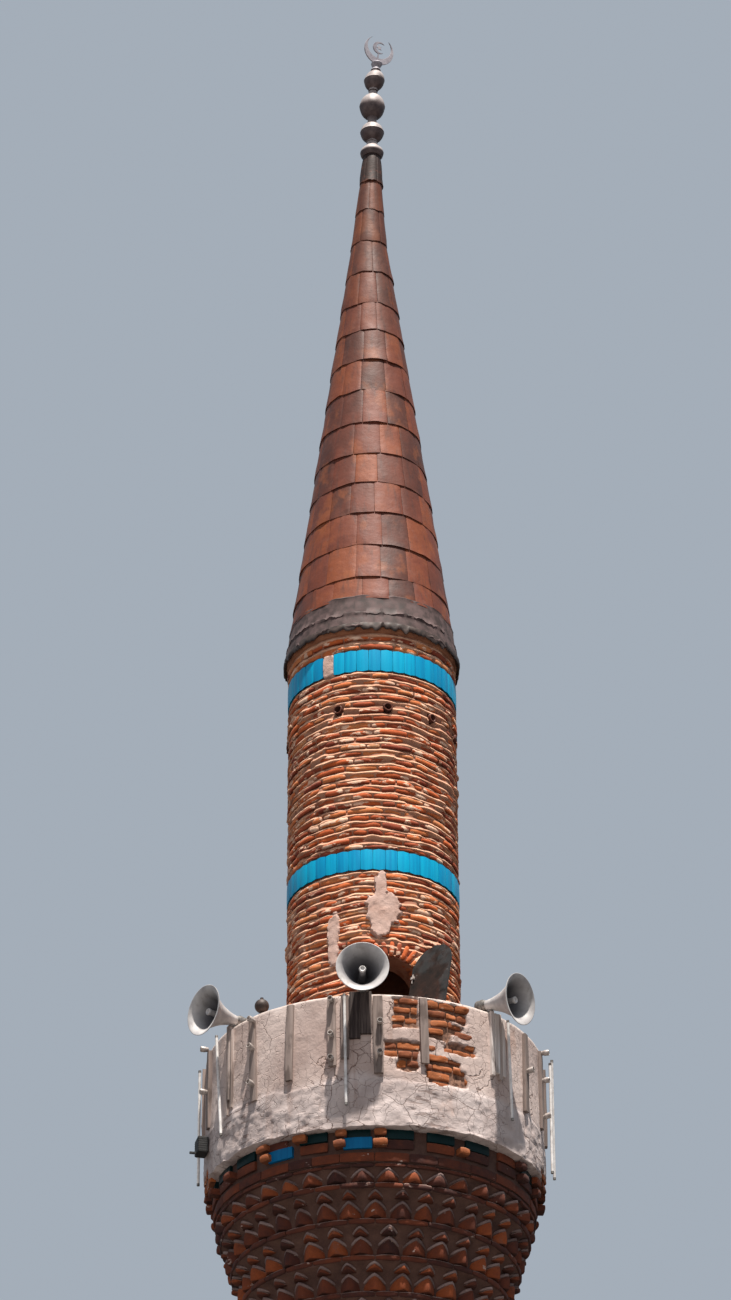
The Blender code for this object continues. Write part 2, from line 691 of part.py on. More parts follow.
def lamps():
    """A round spotlight on the rim and a small floodlight on the outside of the parapet."""
    foot = PARAPET_TOP + GAP
    heart = foot + 0.035 + SPOTLIGHT_RADIUS
    ball = []
    steps = 7
    for k in range(steps):
        angle = radians(-72 + 144 * k / (steps - 1))
        ball.append((SPOTLIGHT_RADIUS * cos(angle), heart + SPOTLIGHT_RADIUS * sin(angle)))
    knob_top = heart + SPOTLIGHT_RADIUS + 0.018
    profile = [(0.0, foot), (0.035, foot), (0.035, foot + 0.012), (0.016, foot + 0.016), *ball]
    profile += [(0.016, knob_top), (0.0, knob_top)]
    seat = place(SPOTLIGHT_BEARING, HORN_SEAT_RADIUS)
    turned("spotlight", profile, "steel", ROUND_FACETS, Matrix.Translation(seat))
    turn = Matrix.Rotation(radians(FLOODLIGHT_BEARING), 4, "Z")
    face = -(PARAPET_RADIUS + GAP)
    level = FLOODLIGHT_LEVEL
    low, high = (-0.07, face - 0.11, level - 0.08), (0.07, face, level + 0.08)
    body = block("floodlight", low, high, "black", turn)
    low, high = (-0.010, face - 0.17, level - 0.07), (0.010, face - 0.08, level - 0.05)
    combine(body, block("floodlight_arm", low, high, "black", turn), "UNION")


def build():
    clear_scene()
    pedestal()
    pedestal_cornice()
    transition()
    lower_shaft()
    for number, (noses, reach) in enumerate(TIERS, start=1):
        corbel_tier(number, noses, reach)
    balcony_cornice()
    balcony_floor()
    parapet()
    door_stage()
    door_leaf()
    upper_shaft()
    spire()
    finial()
    for details in HORNS:
        horn(*details)
    lamps()


build()
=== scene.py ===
"""Looks of the brick minaret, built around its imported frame.

Metres, +Z up. The photographed side faces -Y. Bearings are in degrees from that side, growing
towards +X, as in the part's source.
"""

from itertools import product
from math import acos, cos, degrees, pi, radians, sin, sqrt

import bpy
import numpy as np
from mathutils import Matrix, Vector


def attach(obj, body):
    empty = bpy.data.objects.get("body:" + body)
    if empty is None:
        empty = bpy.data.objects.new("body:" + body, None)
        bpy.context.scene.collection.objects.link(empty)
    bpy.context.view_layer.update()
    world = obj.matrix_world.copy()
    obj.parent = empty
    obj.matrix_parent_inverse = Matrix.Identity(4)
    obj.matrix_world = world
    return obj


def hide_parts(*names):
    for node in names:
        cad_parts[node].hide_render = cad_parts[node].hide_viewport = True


# The photograph's viewpoint
IMAGE_HEIGHT = 1300
FOCAL_PIXELS = 4500.0
SENSOR = 36.0
CAMERA_PLACE = (0.0, -37.35, 1.6)
CAMERA_PITCH, CAMERA_YAW, CAMERA_ROLL = 30.3, 0.09, -0.30
FLOOR_RADIUS = 9.0
# Name, bearing, height, strength, tint and angle across of each sun
SUNS = (("key", 15.0, 72.0, 8.4, (1.0, 0.95, 0.88), 1.5),
        ("bounce", -10.0, -22.0, 0.66, (1.0, 0.92, 0.86), 35.0))
SKY_STRENGTH = 0.62
# Place on the ramp and colour of the ground's and the sky's light
WORLD_STOPS = ((0.46, (0.14, 0.13, 0.125, 1.0)), (0.54, (0.60, 0.68, 0.78, 1.0)))

# Levels and radii of the part
SHAFT_FOOT, SHAFT_TOP = 6.38, 16.10
SHAFT_RADII = (1.00, 0.95)
WELL_RADIUS = 0.62
# Count of noses and outer radius of each corbelled tier
TIERS = ((30, 1.03), (30, 1.12), (32, 1.215), (36, 1.31), (38, 1.42))
TIER_HEIGHT = 0.2975
NOSE_DEPTH = 0.075
BAND_FOOT = 17.45
COURSE_TOP = 17.75
FLOOR_TOP = 18.00
PARAPET_TOP = 19.02
PARAPET_RADIUS = 1.535
PARAPET_WALL = 0.135
BAY, BAY_START = 15.0, 1.0
UPPER_RADIUS, UPPER_WELL = 0.80, 0.52
DOOR_BEARING, DOOR_HALF, ARCH_SPRING = 12.0, 0.27, 19.48
DOOR_STAGE_TOP = 20.25
LOWER_BAND, UPPER_BAND = (20.63, 20.85), (22.73, 22.97)
BAND_GAP = (-35.0, -26.5)
BRICK_TOP, EAVES_TOP, HEM_TOP = 23.15, 23.205, 23.58
SPIRE_RADIUS, SPIRE_SLOPE = 0.78, 0.131
SHELL_TOP, SPIRE_TOP = 28.14, 29.28
COLLAR_TOP = 30.50
# How far the top of the spire and the finial lean towards +X, by level
ROD_BEND = ((28.14, 0.0), (28.62, 0.010), (29.28, 0.034), (29.95, 0.040), (30.13, 0.050), (30.40, 0.079),
            (31.00, 0.157))

# Levels and half widths of the square stages below the shaft
PLINTH_TOP, PLINTH_HALF = 0.35, 1.65
PEDESTAL_TOP, PEDESTAL_HALF = 4.20, 1.50
FOOT_DOOR_HALF, FOOT_DOOR_SPRING = 0.40, 2.05
CORNICE_PROFILE = ((4.20, 1.50), (4.26, 1.50), (4.36, 1.62), (4.48, 1.62), (4.55, 1.44))
TRANSITION_TOP, TRANSITION_RADIUS = 6.10, 1.16
BASE_RING_PROFILE = ((6.10, 1.07), (6.17, 1.14), (6.25, 1.14), (6.31, 1.05), (6.38, 1.05))

BRICK_PITCH = 0.0755


# Numbers and noise

def polar(bearing, radius, level):
    """Points at bearings, radii and levels, as an array whose last side is x, y, z."""
    turn = np.radians(bearing)
    return np.stack(np.broadcast_arrays(radius * np.sin(turn), -radius * np.cos(turn), level), axis=-1)


def aside(bearing, middle):
    """Degrees from a middle bearing, from -180 to 180."""
    return (bearing - middle + 180) % 360 - 180


def lumps(points, size, seed=0):
    """Smooth noise from -1 to 1 at each point, with lumps of about this size."""
    scaled = np.asarray(points, float) / size + 31.7 * (seed + 1)
    cell = np.floor(scaled).astype(np.int64)
    part = scaled - cell
    part = part * part * (3 - 2 * part)
    total = np.zeros(scaled.shape[:-1])
    for corner in product((False, True), repeat=3):
        key = (cell + corner) @ np.array([73856093, 19349663, 83492791]) + seed * 2654435
        key = ((key ^ (key >> 13)) * 1274126177) & 0x7FFFFFFF
        value = ((key ^ (key >> 15)) & 0xFFFF) / 32767.5 - 1.0
        total += value * np.prod(np.where(corner, part, 1 - part), axis=-1)
    return total


def rough(points, size, seed=0, octaves=3):
    """Lumps with smaller lumps on them, from about -1 to 1."""
    return sum(lumps(points, size / 2**k, seed + 7 * k) / 2**k for k in range(octaves)) / 1.5


def step(value, low, high):
    """A smooth rise from 0 at low to 1 at high."""
    share = np.clip((value - low) / (high - low), 0, 1)
    return share * share * (3 - 2 * share)


def table(*columns):
    """Rows from columns, where one number stands for a whole column."""
    return np.stack(np.broadcast_arrays(*columns), axis=-1)


def column(*rows):
    """The columns of some rows, each as an array that stands upright."""
    return [np.array(values)[:, None] for values in zip(*rows)]


def colour(code):
    """A web colour as linear red, green, blue and alpha."""
    parts = [(code >> shift & 255) / 255 for shift in (16, 8, 0)]
    return (*[c / 12.92 if c <= 0.04045 else ((c + 0.055) / 1.055) ** 2.4 for c in parts], 1.0)


# Meshes

# A form is points, faces and sometimes a tone for each point. Its faces are one array, or a list with
# an array for each number of corners

def bent(form):
    """The form, moved sideways as the top of the spire leans."""
    points = np.array(form[0], float)
    points[..., 0] += np.interp(points[..., 2], *zip(*ROD_BEND))
    return (points, *form[1:])


def toned(form, low, share):
    """The form, with its tones in a narrower range."""
    return form[0], form[1], low + share * form[2]


def spin(angle, axis):
    """A turn by some degrees about an axis."""
    return Matrix.Rotation(radians(angle), 4, axis)


def moved(points, matrix):
    world = np.array(matrix)
    return points @ world[:3, :3].T + world[:3, 3]


def piece(name, form, look, nodes="", slot=None, sharp=40.0, **fields):
    """A new piece that rides on the tower and stands for the named nodes."""
    points, faces, count = joined(form)
    if len(form) > 2:
        fields["tone"] = form[2]
    mesh = bpy.data.meshes.new(name)
    mesh.from_pydata(points.tolist(), [], [tuple(face) for group in faces for face in group.tolist()])
    mesh.shade_smooth()
    mesh.set_sharp_from_angle(angle=radians(sharp))
    for key, value in fields.items():
        layer = mesh.attributes.new(key, "FLOAT", "POINT")
        layer.data.foreach_set("value", np.broadcast_to(np.ravel(value), count).astype(np.float32))
    mesh.materials.append(looks[look])
    made = bpy.data.objects.new(name, mesh)
    bpy.context.scene.collection.objects.link(made)
    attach(made, "root")
    if nodes:
        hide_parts(*nodes.split())


def joined(*forms):
    """Several forms as one, with the count of their points."""
    points, faces, count = [], [], 0
    for form in forms:
        points.append(np.asarray(form[0], float).reshape(-1, 3))
        groups = form[1] if isinstance(form[1], list) else [form[1]]
        faces += [np.asarray(group) + count for group in groups]
        count += len(points[-1])
    return np.vstack(points), faces, count


def together(*forms):
    """Several forms with tones as one."""
    return (*joined(*forms)[:2], np.concatenate([form[2] for form in forms]))


def grid_faces(rows, columns, join_rows=False, join_columns=True):
    """Faces between rows of points; columns run with the bearing and rows run up the outside."""
    index = np.arange(rows * columns).reshape(rows, columns)
    if join_rows:
        index = np.vstack([index, index[:1]])
    if join_columns:
        index = np.hstack([index, index[:, :1]])
    quads = [index[:-1, :-1], index[:-1, 1:], index[1:, 1:], index[1:, :-1]]
    return np.stack(quads, axis=-1).reshape(-1, 4)


def turned(profile, columns, matrix=Matrix()):
    """A turned form whose (radius, level) profile may start and end on the axis."""
    bearings = np.arange(columns) * 360 / columns
    points = np.array([polar(bearings, max(radius, 1e-5), level) for radius, level in profile]).reshape(-1, 3)
    return moved(points, matrix), grid_faces(len(profile), columns, join_rows=profile[0][0] > 0)


def thickened(front, rear, faces):
    """A closed form between part of a front sheet and its copy behind, and the points that it uses."""
    used, places = np.unique(faces, return_inverse=True)
    faces = places.reshape(faces.shape)
    count = len(used)
    edges = np.stack([faces, np.roll(faces, -1, axis=1)], axis=-1).reshape(-1, 2).tolist()
    known = {tuple(edge) for edge in edges}
    rim = np.array([edge for edge in edges if (edge[1], edge[0]) not in known])
    sides = np.stack([rim[:, 1], rim[:, 0], rim[:, 0] + count, rim[:, 1] + count], axis=-1)
    return (np.vstack([front[used], rear[used]]), [faces, faces[:, ::-1] + count, sides]), used


def box_form(low, high, matrix=Matrix(), ease=0.002):
    """A box with eased edges."""
    rows = []
    for level, inset in ((low[2], ease), (low[2] + ease, 0.0), (high[2] - ease, 0.0), (high[2], ease)):
        x0, y0, x1, y1 = low[0] + inset, low[1] + inset, high[0] - inset, high[1] - inset
        corners = ((x0 + ease, y0), (x1 - ease, y0), (x1, y0 + ease), (x1, y1 - ease), (x1 - ease, y1),
                   (x0 + ease, y1), (x0, y1 - ease), (x0, y0 + ease))
        rows += [(x, y, level) for x, y in corners]
    caps = np.array([np.arange(8)[::-1], np.arange(8) + 24])
    return moved(np.array(rows).reshape(-1, 3), matrix), [grid_faces(4, 8), caps]


def block_form(along, up):
    """A closed block in wall terms: places from -1 to 1 on its front, a mask of its back, its faces."""
    s, t = np.meshgrid(along, up, indexing="ij")
    index = np.arange(s.size).reshape(s.shape)
    front = np.stack([index[:-1, :-1], index[1:, :-1], index[1:, 1:], index[:-1, 1:]], -1)
    left_low, right_low, right_high, left_high = s.size + np.arange(4)
    faces = [
        np.vstack([front.reshape(-1, 4), [[left_low, left_high, right_high, right_low]]]),
        np.array([[left_low, right_low, *index[::-1, 0]], [*index[:, -1], right_high, left_high]]),
        np.array([[left_low, *index[0], left_high], [right_low, right_high, *index[-1, ::-1]]]),
    ]
    back = np.arange(s.size + 4) >= s.size
    return np.append(s.ravel(), [-1, 1, 1, -1]), np.append(t.ravel(), [-1, -1, 1, 1]), back, faces


BRICK_FORM = block_form((-1, -0.93, -0.4, 0.1, 0.55, 0.93, 1), (-1, -0.7, 0, 0.7, 1))
PLAIN_FORM = block_form((-1, -0.92, 0, 0.92, 1), (-1, -0.65, 0.65, 1))
NOSE_FORM = block_form((-1, -0.93, -0.7, -0.45, -0.2, 0, 0.2, 0.45, 0.7, 0.93, 1), (-1, -0.75, 0, 0.75, 1))
LONG_FORM = block_form(np.linspace(-1, 1, 9), (-1, -0.8, -0.5, -0.2, 0, 0.2, 0.5, 0.8, 1))
SHEET_FORM = block_form((-1, -0.97, -0.7, -0.4, -0.1, 0.2, 0.5, 0.75, 0.97, 1), (-1, -0.85, -0.5, 0, 0.5, 1))
STONE_FORM = block_form((-1, -0.96, -0.5, 0, 0.5, 0.96, 1), (-1, -0.93, 0, 0.93, 1))
MOULDED_FORM = block_form((-1, -0.96, -0.4, 0.4, 0.96, 1), np.linspace(-1, 1, 15))
TILE_FORM = block_form((-1, -0.94, 0, 0.94, 1), (-1, -0.93, 0, 0.93, 1))
LATH_FORM = block_form((-1, -0.9, -0.3, 0.3, 0.9, 1), (-1, -0.98, -0.7, -0.4, -0.1, 0.2, 0.5, 0.75, 0.98, 1))


def copied(block, points, seed):
    """A form of many copies of a block, with a tone for each."""
    count, size = points.shape[:2]
    starts = np.arange(count)[:, None, None] * size
    faces = [(group[None] + starts).reshape(-1, group.shape[1]) for group in block[3]]
    return points.reshape(-1, 3), faces, np.repeat(np.random.default_rng(seed).random(count), size)


def lay(rows, wall, block, soft=0.008, grain=0.004, nose=0.0, drop=(0.0, 0.0), flare=0.0, corner=None,
        wander=None, flat=False, seed=1):
    """Many blocks laid on a round wall, which is a radius or a function of bearing and level.

    Each row holds bearing, level, length, rise, turn, lift and depth. soft is how far the edges
    fall back, nose pulls the middle out to a rounded point, drop lowers the ends of the lower and
    upper edges, flare lifts the lower edge off the wall, and corner rounds the corners.
    """
    s, t, back, _ = block
    radius_at = wall if callable(wall) else lambda bearing, level: wall + 0 * bearing
    bearing, level, length, rise, turn, lift, depth = column(*rows)
    along = s * (length / 2 - 0.6 * soft * abs(t) ** 3)
    up = t * (rise / 2 - (0.6 * soft if corner is None else corner) * abs(s) ** 6)
    side = abs(s) ** 1.4
    up = up - side * (drop[0] * (1 - t) + drop[1] * (1 + t)) / 2
    tilt = np.radians(turn)
    across = along * np.cos(tilt) - up * np.sin(tilt)
    heights = level + along * np.sin(tilt) + up * np.cos(tilt)
    angles = bearing + np.degrees(across / radius_at(bearing, level))
    if wander is not None:
        heights = heights + wander(angles, heights)
    radii = radius_at(angles, heights)
    if flat:
        radii = radii / np.cos(np.radians(angles - bearing))
    surface = polar(angles, radii, heights)
    out = lift - soft * t**4 - soft * abs(s) ** 12 + grain * rough(surface, 0.09, seed)
    out = out + nose * (1 - side)
    if flare:
        out = out + flare * ((1 - t) / 2) ** 2 * (1 + 0.9 * lumps(surface, 0.17, seed + 3))
    return copied(block, polar(angles, radii + np.where(back, lift - depth, out), heights), seed)


def lay_square(rows, half_at, block, soft=0.012, grain=0.006, taper=0.0, seed=1):
    """Many blocks laid on the four sides of a square stage.

    Each row holds side, across, level, length, rise, turn, lift and depth. taper widens the outer end.
    """
    s, t, back, _ = block
    side, across, level, length, rise, turn, lift, depth = column(*rows)
    along = s * (length / 2 - 0.5 * soft * abs(t) ** 3)
    up = t * (rise / 2 - 0.5 * soft * abs(s) ** 6) * (1 + taper * s)
    tilt = np.radians(turn)
    heights = level + along * np.sin(tilt) + up * np.cos(tilt)
    half = half_at(heights)
    x = np.clip(across + along * np.cos(tilt) - up * np.sin(tilt), -half - lift, half + lift)
    surface = np.stack([x + 7 * side, -half, heights], axis=-1)
    out = lift - 0.7 * soft * t**4 - 0.7 * soft * abs(s) ** 12 + grain * rough(surface, 0.14, seed)
    y = -half - np.where(back, lift - depth, out)
    turn = np.radians(90 * side)
    points = np.stack([x * np.cos(turn) - y * np.sin(turn), x * np.sin(turn) + y * np.cos(turn), heights], -1)
    return copied(block, points, seed)


def course(rng, start, end, radius, sizes, joint):
    """Middles and lengths of the bricks that fill one stretch of a course."""
    room = radians(end - start) * radius
    lengths = []
    while sum(lengths) < room:
        lengths.append(rng.uniform(*sizes))
    lengths = np.array(lengths) * room / sum(lengths)
    ends = np.concatenate([[0.0], np.cumsum(lengths)])
    return start + np.degrees((ends[:-1] + ends[1:]) / 2 / radius), lengths - joint


# Looks

class Look:
    """A material, with short ways to wire its nodes."""

    def __init__(self, name, roughness=0.85, metallic=0.0, specular=0.5):
        self.material = bpy.data.materials.new(name)
        self.material.use_nodes = True
        self.tree = self.material.node_tree
        self.shader = self.tree.nodes["Principled BSDF"]
        for key, value in (("Roughness", roughness), ("Metallic", metallic),
                           ("Specular IOR Level", specular)):
            self.shader.inputs[key].default_value = value
        self.place = self.node("TexCoord").outputs["Object"]
        self.level = self.node("SeparateXYZ", {0: self.place}).outputs["Z"]
        normal = self.node("NewGeometry").outputs["Normal"]
        self.facing_up = self.node("SeparateXYZ", {0: normal}).outputs["Z"]

    def node(self, kind, inputs=None, **settings):
        made = self.tree.nodes.new("ShaderNode" + kind)
        for key, value in settings.items():
            setattr(made, key, value)
        for key, value in (inputs or {}).items():
            self.plug(made.inputs[key], value)
        return made

    def plug(self, socket, value):
        if isinstance(value, bpy.types.NodeSocket):
            self.tree.links.new(value, socket)
        else:
            socket.default_value = value

    def noise(self, scale, detail=3.0, tall=1.0, grain=0.55):
        """Cloudy noise; a tall value under 1 draws it out upwards."""
        where = self.node("Mapping", {"Vector": self.place, "Scale": (1.0, 1.0, tall)}).outputs[0]
        inputs = {"Vector": where, "Scale": scale, "Detail": detail, "Roughness": grain}
        return self.node("TexNoise", inputs).outputs["Fac"]

    def cracks(self, scale, width):
        """1 along thin wandering lines, else 0."""
        sway = self.node("TexNoise", {"Vector": self.place, "Scale": scale * 1.7, "Detail": 4.0})
        shift = self.node("VectorMath", {0: sway.outputs["Color"], 1: (0.45 / scale,) * 3},
                          operation="MULTIPLY")
        where = self.node("VectorMath", {0: self.place, 1: shift.outputs[0]}, operation="ADD").outputs[0]
        cells = self.node("TexVoronoi", {"Vector": where, "Scale": scale}, feature="DISTANCE_TO_EDGE")
        return self.span(cells.outputs["Distance"], width, 0.0)

    def span(self, value, low, high):
        inputs = {"Value": value, "From Min": low, "From Max": high}
        return self.node("MapRange", inputs, interpolation_type="SMOOTHSTEP").outputs["Result"]

    def spots(self, low, high, *noise):
        return self.span(self.noise(*noise), low, high)

    def calc(self, operation, a, b, c=0.0):
        return self.node("Math", {0: a, 1: b, 2: c}, operation=operation).outputs[0]

    def times(self, a, b):
        return self.calc("MULTIPLY", a, b)

    def weighed(self, a, share_a, b, share_b):
        return self.calc("ADD", self.times(a, share_a), self.times(b, share_b))

    def mix(self, share, low, high, blend="MIX"):
        made = self.node("Mix", data_type="RGBA", blend_type=blend)
        for socket, value in ((0, share), (6, low), (7, colour(high) if isinstance(high, int) else high)):
            self.plug(made.inputs[socket], value)
        return made.outputs[2]

    def cover(self, base, mask, share, code):
        """The base with a colour over it, as strong as the mask times the share."""
        return self.mix(self.times(mask, share), base, code)

    def ramp(self, value, *stops):
        made = self.node("ValToRGB", {"Fac": value})
        marks = made.color_ramp.elements
        for mark, (place, code) in zip([marks[0], marks[1]] + [marks.new(0.5) for _ in stops[2:]], stops):
            mark.position = place
            mark.color = colour(code)
        return made.outputs["Color"]

    def field(self, name):
        return self.node("Attribute", attribute_name=name).outputs["Fac"]

    def finish(self, base, height, strength=0.4, distance=0.004, roughness=None):
        self.plug(self.shader.inputs["Base Color"], base)
        if roughness is not None:
            self.plug(self.shader.inputs["Roughness"], roughness)
        inputs = {"Height": height, "Strength": strength, "Distance": distance}
        self.plug(self.shader.inputs["Normal"], self.node("Bump", inputs).outputs["Normal"])
        return self.material


def brick_look(name, stops, mortar, smear, dirt_and_shade):
    """Fired brick with a tone for each brick, mortar smeared on it, pale tops, grimy patches and painted
    shade on its undersides.
    """
    look = Look(name, 0.9)
    tone = look.calc("MULTIPLY_ADD", look.field("tone"), 0.75, -0.13)
    tone = look.calc("MULTIPLY_ADD", look.noise(11.0), 0.5, tone)
    grain = look.noise(75.0, 4.0)
    base = look.mix(look.times(grain, 0.55), look.ramp(tone, *stops), 0x5A2A18, "MULTIPLY")
    mask = look.spots(smear, smear + 0.035, 5.5, 5.0, 2.1, 0.62)
    pale = look.ramp(look.noise(24.0), (0.3, mortar[0]), (0.7, mortar[1]))
    base = look.mix(mask, base, pale)
    tops = look.times(look.span(look.facing_up, 0.25, 0.75), look.spots(0.36, 0.56, 8.0, 3.0))
    base = look.cover(base, tops, 0.8, pale)
    # Painted shade: faces that turn downwards are darkened towards the dark colour.
    base = look.cover(base, look.span(look.facing_up, -0.2, -0.8), 0.55, dirt_and_shade)
    # Grimy patches in the same dark colour.
    base = look.cover(base, look.spots(0.56, 0.74, 2.3, 6.0, 0.6), 0.45, dirt_and_shade)
    return look.finish(base, look.calc("ADD", grain, look.times(mask, 0.8)), 0.5, 0.004)


def mortar_look(name, low, high, dark, grime=0.0):
    """Sandy lime mortar, darker in grimy patches and where the deep field is set: painted shade where mortar
    lies deep, a random darker tone on the corbel's brows.
    """
    look = Look(name, 0.95)
    grain = look.noise(90.0, 5.0)
    base = look.ramp(look.weighed(look.noise(7.0, 4.0), 0.7, grain, 0.3), (0.35, low), (0.65, high))
    # Painted shade: the deep field darkens the mortar towards the dark colour.
    base = look.cover(base, look.field("deep"), 0.85, dark)
    base = look.cover(base, look.spots(0.54, 0.66, 5.0, 5.0, 2.0), grime, dark)
    return look.finish(base, grain, 0.7, 0.005)


def plaster_look(name):
    """Old lime plaster: warm panels, grey repairs, cracks, drips and a painted highlight along its top rim.
    """
    look = Look(name, 0.93)
    base = look.ramp(look.noise(1.6, 5.0, 0.8), (0.36, 0xAC968E), (0.5, 0xC2ABA3), (0.66, 0xD3C0B8))
    low = look.span(look.calc("MULTIPLY_ADD", look.noise(2.2, 5.0), 0.3, look.level), 18.40, 18.32)
    base = look.cover(base, low, 0.7, look.ramp(look.noise(4.0, 5.0), (0.35, 0x9E908D), (0.65, 0xCCBFBC)))
    base = look.cover(base, look.spots(0.56, 0.72, 9.0, 4.0, 0.09), 0.42, 0x8A6A5C)
    base = look.cover(base, look.spots(0.62, 0.74, 3.1, 4.0, 0.35), 0.4, 0xB07C5C)
    wide = look.times(look.cracks(3.2, 0.014), look.spots(0.43, 0.50, 2.0))
    small = look.times(look.cracks(11.0, 0.026), look.spots(0.46, 0.53, 3.0, 3.0))
    layers = look.times(look.spots(0.55, 0.59, 7.0, 4.0, 5.0), look.times(low, look.spots(0.5, 0.6, 1.4)))
    crack = look.calc("MAXIMUM", wide, look.times(look.calc("MAXIMUM", small, layers), 0.7))
    base = look.cover(base, crack, 0.8, 0x5A3E32)
    base = look.cover(base, look.spots(0.66, 0.72, 60.0, 3.0), 0.6, 0x6E5042)
    broken = look.ramp(look.noise(26.0, 4.0), (0.35, 0x4E3022), (0.65, 0x926850))
    base = look.cover(base, look.field("broken"), 0.95, broken)
    # Painted highlight: the top rim, from 18.975 m up, is lightened.
    base = look.cover(base, look.span(look.level, 18.975, 19.0), 0.6, 0xD6C8C0)
    return look.finish(base, look.calc("SUBTRACT", look.noise(34.0, 5.0), look.times(crack, 1.5)), 0.6, 0.007)


def glaze_look(name, stops):
    """Coloured glaze with a tone for each tile and faint upright streaks."""
    look = Look(name, 0.42, specular=0.16)
    tone = look.weighed(look.field("tone"), 0.28, look.noise(34.0, 3.0, 0.04), 0.72)
    base = look.cover(look.ramp(tone, *stops), look.cracks(60.0, 0.02), 0.15, 0x083848)
    return look.finish(base, look.noise(20.0), 0.10, 0.003)


def sheet_look(name, stops):
    """Weathered sheet metal: a tone for each sheet, run-off streaks and dents, duller near the top."""
    look = Look(name, 0.6, 0.08, 0.35)
    cloud = look.noise(5.0, 5.0)
    base = look.ramp(look.weighed(look.field("tone"), 0.46, cloud, 0.55), *stops)
    for share, code, spots in (
        (0.45, 0x3E2824, (0.50, 0.7, 22.0, 4.0, 0.07)),
        (0.24, 0x84584A, (0.56, 0.72, 9.0, 5.0)),
        (0.4, 0x9A5428, (0.56, 0.68, 3.6, 4.0, 0.7)),
        (0.5, 0x2E1A18, (0.63, 0.7, 55.0, 3.0)),
    ):
        base = look.cover(base, look.spots(*spots), share, code)
    dull = look.ramp(look.noise(12.0, 4.0, 0.3), (0.38, 0x2C1811), (0.62, 0x5C3422))
    base = look.cover(base, look.span(look.level, 25.2, 29.0), 0.5, dull)
    soot = look.times(look.span(look.level, 28.90, 28.95), look.spots(0.30, 0.45, 20.0, 4.0))
    base = look.cover(base, soot, 0.8, 0x1C1412)
    height = look.calc("ADD", look.noise(14.0, 3.0), look.times(look.noise(70.0), 0.15))
    return look.finish(base, height, 0.4, 0.009, look.calc("MULTIPLY_ADD", cloud, 0.3, 0.45))


def finial_look(name):
    """Dull pale metal, with painted shade turning its downward faces dark brown."""
    look = Look(name, 0.6, 0.12)
    pale = look.ramp(look.noise(16.0, 4.0), (0.35, 0x8C8280), (0.62, 0xACA2A0))
    shaded_under = look.ramp(look.noise(12.0, 4.0), (0.35, 0x463838), (0.65, 0x6A5A58))
    # Painted shade: faces turned downwards take the dark brown.
    base = look.mix(look.span(look.facing_up, 0.35, -0.25), pale, shaded_under)
    return look.finish(base, look.noise(60.0), 0.15, 0.003)


def horn_look(name):
    """Pale grey paint with stains, darkened deep inside the horn by painted shade."""
    look = Look(name, 0.5)
    base = look.ramp(look.noise(7.0, 4.0), (0.35, 0xA6A1A1), (0.62, 0xC4C0BE))
    base = look.cover(base, look.spots(0.56, 0.72, 11.0, 4.0, 0.3), 0.4, 0x75685F)
    throat_shade = look.ramp(look.noise(9.0, 4.0), (0.35, 0x23242C), (0.65, 0x3A3B44))
    # Painted shade: the deep field darkens the paint inside the horn towards a dark blue-grey.
    return look.finish(look.mix(look.field("deep"), base, throat_shade), look.noise(28.0), 0.12, 0.003)


def metal_look(name, pale, dull, stain, roughness=0.45, metallic=0.4, scale=18.0):
    """Painted or bare metal with cloudy wear and stains."""
    look = Look(name, roughness, metallic)
    base = look.ramp(look.noise(scale, 4.0), (0.35, dull), (0.62, pale))
    base = look.cover(base, look.spots(0.58, 0.72, scale * 1.6, 4.0, 0.15), 0.45, stain)
    wear = look.calc("MULTIPLY_ADD", look.noise(scale * 2.0), 0.3, roughness - 0.15)
    return look.finish(base, look.noise(scale * 4.0), 0.12, 0.003, wear)


def stone_look(name, stops, stain):
    """Dressed stone with a tone for each block, pits and stains."""
    look = Look(name, 0.88)
    base = look.ramp(look.weighed(look.field("tone"), 0.6, look.noise(6.0, 5.0), 0.45), *stops)
    base = look.cover(base, look.spots(0.55, 0.72, 3.5, 5.0, 0.25), 0.4, stain)
    pits = look.spots(0.6, 0.68, 48.0, 4.0)
    base = look.cover(base, pits, 0.45, stain)
    return look.finish(base, look.calc("SUBTRACT", look.noise(26.0, 5.0), look.times(pits, 0.6)), 0.5, 0.006)


def wood_look(name):
    """Bare weathered timber with upright grain."""
    look = Look(name, 0.85)
    grain = look.noise(42.0, 5.0, 0.06)
    tone = look.weighed(look.field("tone"), 0.5, grain, 0.5)
    base = look.ramp(tone, (0.14, 0x2A1E1C), (0.4, 0x68544C), (0.62, 0x9C8A82), (0.85, 0xCCC0BA))
    base = look.cover(base, look.spots(0.53, 0.66, 7.0, 4.0, 0.4), 0.65, 0x38271F)
    return look.finish(base, grain, 0.6, 0.004)


def rust_look(name):
    """Rusted sheet iron, worn blue-grey at the top and right, reddish midway, greenish low on the left."""
    look = Look(name, 0.9, specular=0.2)
    base = look.ramp(look.noise(9.0, 5.0), (0.32, 0x0F0B0A), (0.5, 0x1B120F), (0.68, 0x30201A))
    across, rise, cloud = look.field("across"), look.field("rise"), look.noise(6.5, 5.0)
    middle = look.times(look.span(rise, 0.2, 0.45), look.span(rise, 0.85, 0.6))
    base = look.cover(base, middle, look.span(cloud, 0.48, 0.62), 0x44271D)
    worn = look.calc("MAXIMUM", look.span(rise, 0.74, 0.97), look.span(across, 0.25, 0.95))
    worn = look.span(look.calc("MULTIPLY_ADD", worn, 0.34, cloud), 0.69, 0.84)
    base = look.cover(base, worn, 0.45, 0x3E4244)
    green = look.times(look.span(rise, 0.5, 0.15), look.span(across, 0.3, -0.5))
    green = look.span(look.calc("MULTIPLY_ADD", green, 0.36, cloud), 0.62, 0.76)
    base = look.cover(base, green, 0.8, 0x2C3A36)
    scratches = look.times(look.cracks(13.0, 0.02), look.spots(0.52, 0.62, 5.0, 3.0))
    return look.finish(look.cover(base, scratches, 0.3, 0x6E7274), look.noise(30.0, 5.0), 0.5, 0.004)


